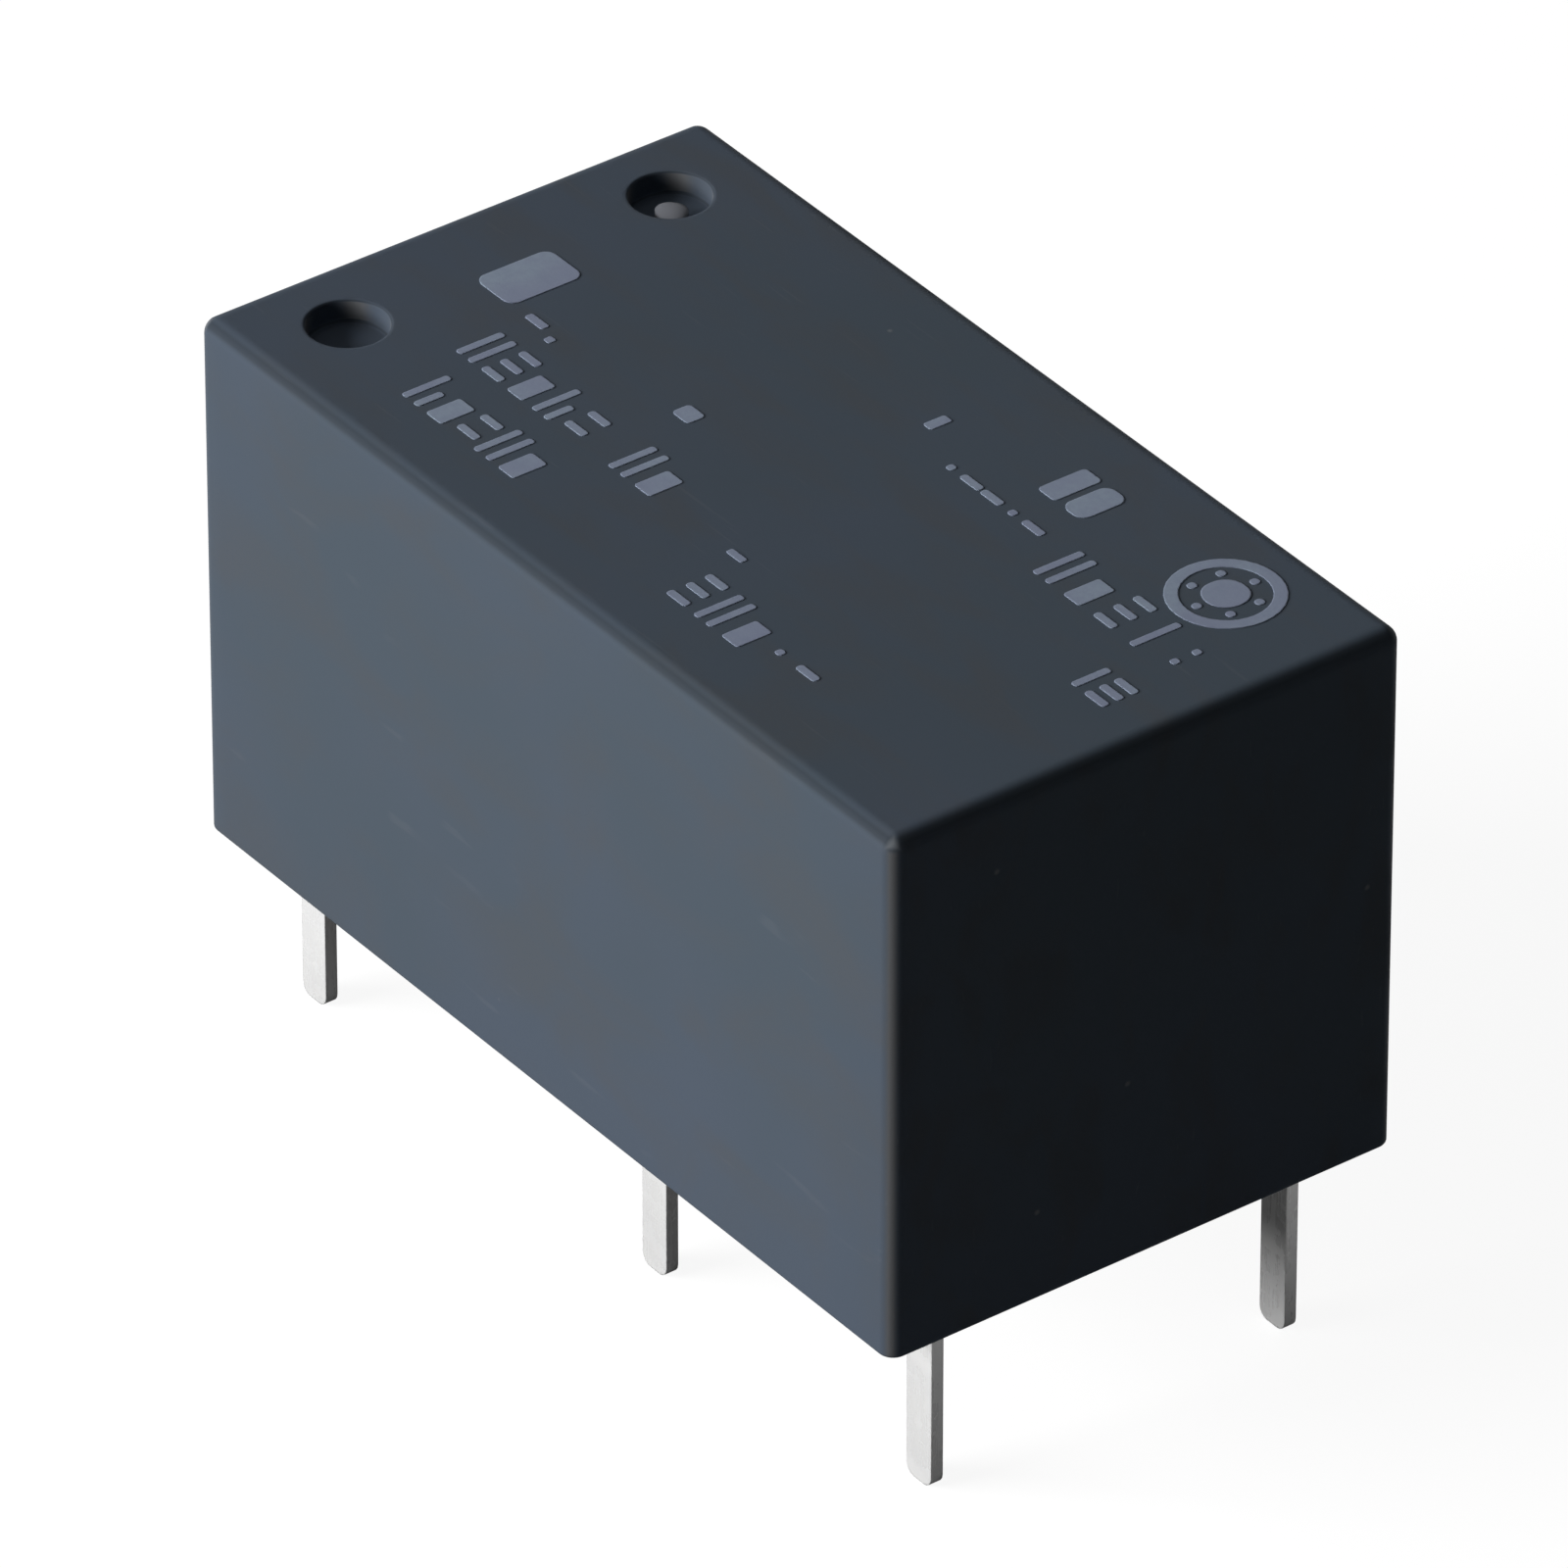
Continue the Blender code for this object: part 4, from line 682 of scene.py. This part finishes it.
inkShape = {
    "height": 0.000012, "sunk": 0.000006, "soft": 0.000005, "stroke": 0.00017,
    "pairStep": 0.00034, "dashWidth": 0.00054, "blockWidth": 0.00046,
    "barRound": 0.8, "tickRound": 0.9, "discRound": 0.98, "ringRound": 0.999,   # shares of half the width
    "topRound": 0.9, "leastInner": 0.3, "filledSteps": 6, "framedSteps": 8,
}
openLines = (np.array([-1.0, 1.0]), np.array([-1.0, 1.0]))


# A solid rounded patch of ink: its outline raised, drawn in a little at the top and closed.
def filled(centre, half, radius, ink, top):
    soft, high = ink["soft"], top + ink["height"]
    rows = [(half[0], half[1], radius, top - ink["sunk"]),
            (half[0], half[1], radius, high - soft),
            (half[0] - soft, half[1] - soft, radius * ink["topRound"], high)]
    rings = [ring(openLines, hx, hy, r, z, ink["filledSteps"]) for hx, hy, r, z in rows]
    rings = [rings[0] * (0, 0, 1)] + rings + [rings[-1] * (0, 0, 1)]
    return joined(np.stack(rings) + (*centre, 0))


# An open rounded frame of ink: an outer and an inner outline joined by a low rim.
def framed(centre, half, radius, stroke, ink, top):
    inner = max(radius - stroke, radius * ink["leastInner"])
    low, high = top - ink["sunk"], top + ink["height"]
    inside = (half[0] - stroke, half[1] - stroke)
    rows = [(*half, radius, low), (*half, radius, high), (*inside, inner, high), (*inside, inner, low),
            (*half, radius, low)]
    rings = [ring(openLines, hx, hy, r, z, ink["framedSteps"]) for hx, hy, r, z in rows]
    return joined(np.stack(rings) + (*centre, 0))


mm = 0.001
# each row, in millimetres: the first shape's middle, the step to the next one and the height; and the
# shapes, where a space leaves a gap
printRows = {
    "lower_left": ((-6.2, -1.98), 0.74, 0.98, "uebn= ub"),
    "lowest_left": ((-5.65, -3.52), 0.7, 0.98, "nb=ub"),
    "upper_right": ((5.15, 1.9), 0.84, 1.04, "ubei:"),
    "lower_right": ((2.0, -3.5), 0.78, 1.0, "eub.-"),
    "broken": ((1.55, 2.2), 0.58, 0.3, ".--.-"),
    "small": ((8.05, 0.25), 0.56, 0.78, "ie"),
}
# each field, in millimetres: its centre, half its size and its corners' radius
printFields = {
    "block": ((-7.56, -0.08), (0.54, 0.8), 0.24),
    "field_a": ((3.18, 3.5), (0.25, 0.52), 0.1),
    "field_b": ((3.88, 3.5), (0.3, 0.52), 0.24),
    "fleck_a": ((-2.45, -0.42), (0.24, 0.2), 0.1),
    "fleck_b": ((0.3, 2.85), (0.12, 0.24), 0.06),
    "fleck_c": ((-6.35, -0.8), (0.26, 0.09), 0.05),
    "fleck_d": ((-5.75, -0.96), (0.09, 0.09), 0.05),
    "fleck_e": ((1.55, -2.35), (0.22, 0.08), 0.05),
}
dialMark = {"centre": (7.40, 3.60), "radius": 1.06, "stroke": 0.25, "dot": 0.42, "ticks": 6,
            "tickAt": 0.62, "tick": 0.09}


# Each shape is a few solid fields, (aside, up, half width, half height), round the middle of its step: a
# bar (i), two bars (u), a short bar beside a long one (n), dashes (- = e), a block (b) and dots (. :).
def inkRow(row, ink, top):
    start, step, height, marks = row
    thin, tall, pair = ink["stroke"] / 2, height * mm / 2, ink["pairStep"] / 2
    dash, block = ink["dashWidth"] / 2, ink["blockWidth"] / 2
    shapes = {
        " ": [], "i": [(0, 0, thin, tall)], "u": [(-pair, 0, thin, tall), (pair, 0, thin, tall)],
        "n": [(-pair, 0, thin, tall), (pair, -tall * 0.4, thin, tall * 0.6)],
        "b": [(0, -tall * 0.25, block, tall * 0.75)], "-": [(0, 0, dash, thin)],
        "=": [(0, -tall * 0.5, dash, thin), (0, tall * 0.5, dash, thin)],
        "e": [(0, -tall * 0.8, dash, thin), (0, 0, dash, thin), (0, tall * 0.8, dash, thin)],
        ".": [(0, 0, thin, thin)], ":": [(0, -tall * 0.45, thin, thin), (0, tall * 0.45, thin, thin)],
    }
    patches = []
    for index, mark in enumerate(marks):
        middle = np.array(start) * mm + (step * index * mm, 0)
        for aside, up, halfX, halfY in shapes[mark]:
            half = (halfX, halfY)
            patches.append(filled(middle + (aside, up), half, thin * ink["barRound"], ink, top))
    return patches


def makePrint(ink):
    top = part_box("case")[1].z

    def printed(name, patches):
        makePiece(f"print_{name}", patches, "padPrint", [])

    for name, row in printRows.items():
        printed(f"row_{name}", inkRow(row, ink, top))
    for name, (centre, half, radius) in printFields.items():
        printed(name, [filled(np.array(centre) * mm, np.array(half) * mm, radius * mm, ink, top)])
    centre = np.array(dialMark["centre"]) * mm
    radius, dot, small, away = (dialMark[k] * mm for k in ("radius", "dot", "tick", "tickAt"))
    outline = (centre, (radius, radius), radius * ink["ringRound"], dialMark["stroke"] * mm)
    patches = [framed(*outline, ink, top),
               filled(centre, (dot, dot), dot * ink["discRound"], ink, top)]
    for index in range(dialMark["ticks"]):
        a = 2 * math.pi * (index + 0.5) / dialMark["ticks"]
        spot = centre + np.array([math.cos(a), math.sin(a)]) * away
        patches.append(filled(spot, (small, small), small * ink["tickRound"], ink, top))
    printed("dial_mark", patches)


makePrint(inkShape)
print("print made")


# Resin in the underside, risen a little where it meets the pins and the walls

resinShape = {
    "pinX": (-0.00889, 0.00127, 0.00889), "pinY": 0.00381, "pinHalf": (0.00035, 0.000125),
    "climb": 0.00009, "reach": 0.00016,
    "coarse": 0.0004, "fine": 0.00005, "near": 0.0007, "least": 0.000015,       # distances of the lines
    "swell": 0.000008,
    "longWave": ((900, 1.1), (1300, 0.4)),      # radians per metre and phase, along x and along y
    "shortWave": (0.6, 2100, 1700),             # share, and radians per metre along x and y
}


# Lines from wall to wall, set close together near the pins and the walls.
def resinLines(low, high, spots, shape):
    lines = [np.linspace(low, high, int((high - low) / shape["coarse"]) + 1)]
    for spot in [low, high, *spots]:
        close = np.arange(spot - shape["near"], spot + shape["near"], shape["fine"])
        lines.append(close[(close > low) & (close < high)])
    every = np.sort(np.concatenate(lines))
    return every[np.concatenate([[True], np.diff(every) > shape["least"]])]


def makeResin(shape):
    low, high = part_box("sealing_resin")
    xs = resinLines(low.x, high.x, shape["pinX"], shape)
    ys = resinLines(low.y, high.y, (-shape["pinY"], shape["pinY"]), shape)
    xs[-1], ys[-1] = high.x, high.y
    x, y = np.meshgrid(xs, ys, indexing="ij")
    reach = shape["reach"]
    climb = np.exp(-(high.x - np.abs(x)) / reach) + np.exp(-(high.y - np.abs(y)) / reach)
    for pinX in shape["pinX"]:
        aside = np.maximum(np.abs(x - pinX) - shape["pinHalf"][0], 0)
        across = np.maximum(np.abs(np.abs(y) - shape["pinY"]) - shape["pinHalf"][1], 0)
        climb = np.maximum(climb, np.exp(-np.hypot(aside, across) / reach))
    (rateX, phaseX), (rateY, phaseY) = shape["longWave"]
    share, shortX, shortY = shape["shortWave"]
    swell = np.sin(x * rateX + phaseX) * np.cos(y * rateY + phaseY)
    swell += share * np.sin(x * shortX + y * shortY)
    under = low.z - shape["climb"] * np.minimum(climb, 1.0) - shape["swell"] * swell
    flat = np.full(x.shape, high.z)
    patches = []
    for z in (under, flat):
        patches.append(joined(np.stack([x, y, z], axis=-1), False))
    for border in (np.s_[0, :], np.s_[-1, :], np.s_[:, 0], np.s_[:, -1]):
        wall = np.stack([np.column_stack([x[border], y[border], z[border]]) for z in (under, flat)])
        patches.append(joined(wall, False))
    makePiece("resin_fill", patches, "castResin", ["sealing_resin"])


makeResin(resinShape)
print("resin made")


# Coil: wound wire, its tape, the iron core and the two leads

coilShape = {
    "wire": 0.00012, "samples": 8, "around": 64, "innerRadius": 0.00163,
    "wireCut": 1.9,             # at 2, each turn's round top would run down to the wire's middle
    "tapeRows": 40, "tapeAround": 128, "tapeWall": 0.00008, "tapeFilm": 0.00003, "tapeLap": 1.04,
    "tapeRise": 0.000004,
    "tapeWaves": ((5200, 3, 0.0), (2300, -5, 1.0)),     # radians per metre, waves round it and phase
    "leadSides": 14, "leadTurns": 4, "turnSteps": 16, "leadPitch": 0.00015, "curveSteps": 3,
    "postHalf": (0.000225, 0.000125), "postGap": 0.00003, "bend": (0.0006, 0.0002), "wiresToFlange": 3,
}


# A tube whose wall is a closed loop of rings, so that the last ring meets the first.
def closedTube(rows, name, finish, replaced):
    return makePiece(name, [joined(np.concatenate([rows, rows[:1]]))], finish, replaced)


# Points at a distance from the coil's axis: (x, r cos t, z + r sin t).
def alongCoil(x, radius, turn, axisZ):
    return np.stack([x, radius * np.cos(turn), axisZ + radius * np.sin(turn)], axis=-1)


def makeWinding(shape):
    low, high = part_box("winding")
    axisZ, crest = (low.z + high.z) / 2, (high.z - low.z) / 2
    turns = round((high.x - low.x) / shape["wire"])
    along = np.linspace(low.x, high.x, turns * shape["samples"] + 1)
    turn = np.linspace(0, 2 * math.pi, shape["around"], endpoint=False)
    x, t = np.meshgrid(along, turn, indexing="ij")
    phase = ((x - low.x) / shape["wire"] - t / (2 * math.pi)) % 1.0
    bulge = np.sqrt(1 - (shape["wireCut"] * (phase - 0.5)) ** 2)
    radius = crest - shape["wire"] / 2 * (1 - bulge)
    outer = alongCoil(x, radius, t, axisZ)
    ends = np.array([high.x, low.x])[:, None] + np.zeros(len(turn))
    inner = alongCoil(ends, shape["innerRadius"] + 0 * ends, turn + 0 * ends, axisZ)
    closedTube(np.concatenate([outer, inner]), "winding_turns", "enamelledWire",
               ["winding"])


def makeTape(shape):
    low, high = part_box("insulation_tape")
    axisZ, outerRadius = (low.z + high.z) / 2, (high.z - low.z) / 2
    along = np.linspace(low.x, high.x, shape["tapeRows"])
    turn = np.linspace(0, 2 * math.pi, shape["tapeAround"], endpoint=False)
    x, t = np.meshgrid(along, turn, indexing="ij")
    lap = np.clip(t / (2 * math.pi) * shape["tapeLap"], 0, 1)      # its end is a film above its start
    waves = sum(np.sin(x * rate + t * count + phase) for rate, count, phase in shape["tapeWaves"])
    radius = outerRadius - shape["tapeFilm"] * (1 - lap) - np.abs(shape["tapeRise"] * waves)
    outer = alongCoil(x, radius, t, axisZ)
    inner = alongCoil(x[::-1], outerRadius - shape["tapeWall"] + 0 * x, t, axisZ)
    closedTube(np.concatenate([outer, inner]), "tape_wrap", "filmTape", ["insulation_tape"])


coreProfile = {      # radius and distance from the pole face, both in metres, from the face to the tail
    "points": [(0.0, 0.0), (0.00170, 0.0), (0.00176, -0.000005), (0.00184, -0.00003), (0.00189, -0.00007),
               (0.0019, -0.00012), (0.0019, -0.00064), (0.00187, -0.0007), (0.0012, -0.0007),
               (0.0012, -0.00894), (0.00085, -0.00894), (0.00085, -0.00982), (0.00079, -0.0099),
               (0.00072, -0.00994), (0.0, -0.00994)],
    "steps": 96,
}


def makeCore(shape):
    low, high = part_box("core")
    scale = (high.x - low.x) / -shape["points"][-1][1]
    points, faces = lathe([(r, h * scale) for r, h in shape["points"]], shape["steps"])
    axisZ = (low.z + high.z) / 2
    turned = np.stack([points[..., 2] + high.x, points[..., 1], points[..., 0] + axisZ], axis=-1)
    makePiece("core_rod", [(turned, faces)], "platedIron", ["core"])


# A round wire along a path: rings square to the path, turned so that they don't twist.
def tube(path, radius, sides):
    path = np.asarray(path, float)
    ahead = np.gradient(path, axis=0)
    ahead /= np.linalg.norm(ahead, axis=1, keepdims=True)
    side = np.cross(ahead[0], (0.0, 0.0, 1.0))
    aside = []
    for direction in ahead:
        side = side - direction * side.dot(direction)
        side /= np.linalg.norm(side)
        aside.append(side)
    aside = np.array(aside)[:, None]
    up = np.cross(ahead, aside[:, 0])[:, None]
    turn = np.linspace(0, 2 * math.pi, sides, endpoint=False)[:, None]
    wall = path[:, None] + radius * (aside * np.cos(turn) + up * np.sin(turn))
    first, last = (np.repeat(end[None], sides, axis=1) for end in (path[:1], path[-1:]))
    return joined(np.concatenate([first, wall, last]))


# A Catmull-Rom curve through the points.
def smoothed(points, steps):
    p = np.asarray(points, float)
    p = np.vstack([2 * p[0] - p[1], p, 2 * p[-1] - p[-2]])
    t = np.linspace(0, 1, steps, endpoint=False)[:, None]
    runs = []
    for a, b, c, d in zip(p[:-3], p[1:-2], p[2:-1], p[3:]):
        runs.append(0.5 * (2 * b + (c - a) * t + (2 * a - 5 * b + 4 * c - d) * t ** 2
                           + (3 * b - a - 3 * c + d) * t ** 3))
    return np.vstack([*runs, p[-2:-1]])


def makeLeads(shape):
    wire = shape["wire"]
    wrap = math.hypot(*shape["postHalf"]) + shape["postGap"] + wire / 2
    bendX, bendY = shape["bend"]
    for side, tag in ((1, "left"), (-1, "right")):
        low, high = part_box(f"coil_lead_{tag}")
        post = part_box(f"coil_terminal_{tag}")
        postX, postY = (post[0].x + post[1].x) / 2, abs(post[0].y + post[1].y) / 2
        leadZ = high.z - wire / 2
        startY = min(abs(low.y), abs(high.y)) + wire / 2
        flangeX = high.x - shape["wiresToFlange"] * wire
        route = [(high.x, startY, leadZ), (flangeX, startY, leadZ),
                 (flangeX - bendX, postY - bendY, leadZ)]
        turns, count = shape["leadTurns"], shape["leadTurns"] * shape["turnSteps"]
        a = np.linspace(0, 2 * math.pi * turns, count + 1)
        coil = np.stack([postX + wrap * np.cos(a), postY + wrap * np.sin(a),
                         leadZ - wire - shape["leadPitch"] * a / (2 * math.pi)], axis=1)
        path = smoothed(np.vstack([route, coil]), shape["curveSteps"]) * (1, side, 1)
        makePiece(f"lead_wire_{tag}", [tube(path, wire / 2, shape["leadSides"])], "enamelledWire",
                  [f"coil_lead_{tag}"])


makeWinding(coilShape)
makeTape(coilShape)
makeCore(coreProfile)
makeLeads(coilShape)
print("coil made")


# Contact rivets: crowned head, shank through the strip and staked end

rivetShape = {
    "head": 0.0007, "height": 0.00035, "crown": 0.0001, "crownSteps": 11, "edge": 0.00003,
    "shank": 0.0003, "stake": 0.0004, "stakeHeight": 0.00012, "bevel": 0.00002, "dish": 0.00018,
    "steps": 64,
}


# From the crowned face's centre out to its rounded edge, up the shank and over the staked, dished end.
def rivetProfile(shape, grip):
    a = np.linspace(0, math.pi / 2, shape["crownSteps"] + 1)
    head, edge, height, crown = (shape[k] for k in ("head", "edge", "height", "crown"))
    shank, stake, bevel, dish = (shape[k] for k in ("shank", "stake", "bevel", "dish"))
    top = grip + shape["stakeHeight"]
    face = [((head - edge) * math.sin(t), -height + crown * (1 - math.cos(t))) for t in a]
    return face + [
        (head, -height + crown + edge), (head, -edge), (head - edge, 0.0), (shank, 0.0), (shank, grip),
        (stake - bevel, grip), (stake, grip + bevel), (stake, top - 3 * bevel),
        (stake - 1.5 * bevel, top - bevel), (stake - 3 * bevel, top), (dish + 2 * bevel, top),
        (dish, top - 0.5 * bevel), (0.0, top - 1.5 * bevel)]


def makeRivets(shape):
    for tag in ("left", "right"):
        for kind, facing, body in (("moving", 1, f"spring_group_{tag}"), ("fixed", -1, "housing")):
            low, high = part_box(f"{kind}_contact_{tag}")
            grip = high.z - low.z - shape["height"] - shape["stakeHeight"]
            points, faces = lathe(rivetProfile(shape, grip), shape["steps"])
            seat = low.z + shape["height"] if facing > 0 else high.z - shape["height"]
            middle = ((low.x + high.x) / 2, (low.y + high.y) / 2, seat)
            makePiece(f"{kind}_rivet_{tag}", [(points * (1, 1, facing) + middle, faces)], "contactSilver",
                      [f"{kind}_contact_{tag}"], body)


makeRivets(rivetShape)
print("contacts made")


# Floor and world

studio = {
    "floorSize": 1.6,
    "floorTone": 0.20,      # what the floor gives back of the lamps' light, which carries the shadow
    "floorGlow": 0.92,      # the rest of its white, seen by the camera and in reflections only
    "ambient": 0.02,
    "underShade": 0.009,    # how far under the object the floor's reflected white fades,
    "shadePower": 3.6,      # and how steeply
    "shadeSamples": 6,
    "speckleScale": 0.05, "speckle": 1.03,
}


# 1 for rays from the camera, from gloss and through glass, and 0 for the light that falls on things.
def seenDirectly(tree):
    path = put(tree, "ShaderNodeLightPath").outputs
    direct = calc(tree, "MAXIMUM", path["Is Camera Ray"], path["Is Glossy Ray"])
    return calc(tree, "MAXIMUM", direct, path["Is Transmission Ray"])


def makeStudio(look):
    world = bpy.data.worlds.new("studio")
    scene.world = world
    world.use_nodes = True
    tree = world.node_tree
    strength = fade(tree, seenDirectly(tree), 0.0, 1.0, look["ambient"], 1.0)
    background = tree.nodes["Background"]
    background.inputs["Color"].default_value = (1, 1, 1, 1)
    tree.links.new(strength, background.inputs["Strength"])

    half = look["floorSize"] / 2
    mesh = bpy.data.meshes.new("floor")
    mesh.from_pydata([(-half, -half, 0), (half, -half, 0), (half, half, 0), (-half, half, 0)], [],
                     [(0, 1, 2, 3)])
    floor = bpy.data.objects.new("floor", mesh)
    scene.collection.objects.link(floor)
    material = bpy.data.materials.new("floor")
    material.use_nodes = True
    tree = material.node_tree
    tree.nodes.remove(tree.nodes["Principled BSDF"])
    speckle = noiseAt(tree, inMillimetres(tree), look["speckleScale"])
    first, second = look["floorTone"], look["floorTone"] * look["speckle"]
    paper = blendTones(tree, speckle, (first, first, first, 1), (second, second, second, 1))
    matt = put(tree, "ShaderNodeBsdfDiffuse", {"Color": paper}).outputs[0]
    openness = put(tree, "ShaderNodeAmbientOcclusion", {"Distance": look["underShade"]},
                   samples=look["shadeSamples"]).outputs["AO"]
    kept = calc(tree, "POWER", openness, look["shadePower"])
    kept = calc(tree, "MAXIMUM", put(tree, "ShaderNodeLightPath").outputs["Is Camera Ray"], kept)
    seen = fade(tree, seenDirectly(tree), 0.0, 1.0, 0.0, look["floorGlow"])
    glow = put(tree, "ShaderNodeEmission", {"Strength": times(tree, seen, kept)}).outputs[0]
    lit = put(tree, "ShaderNodeAddShader", {0: matt, 1: glow}).outputs[0]
    clear = put(tree, "ShaderNodeBsdfTransparent").outputs[0]
    behind = put(tree, "ShaderNodeNewGeometry").outputs["Backfacing"]
    shown = put(tree, "ShaderNodeMixShader", {0: behind, 1: lit, 2: clear}).outputs[0]
    tree.links.new(shown, tree.nodes["Material Output"].inputs["Surface"])
    mesh.materials.append(material)


makeCamera(camera)
makeLamps(lamps)
makeStudio(studio)
print("camera, lamps and floor placed")
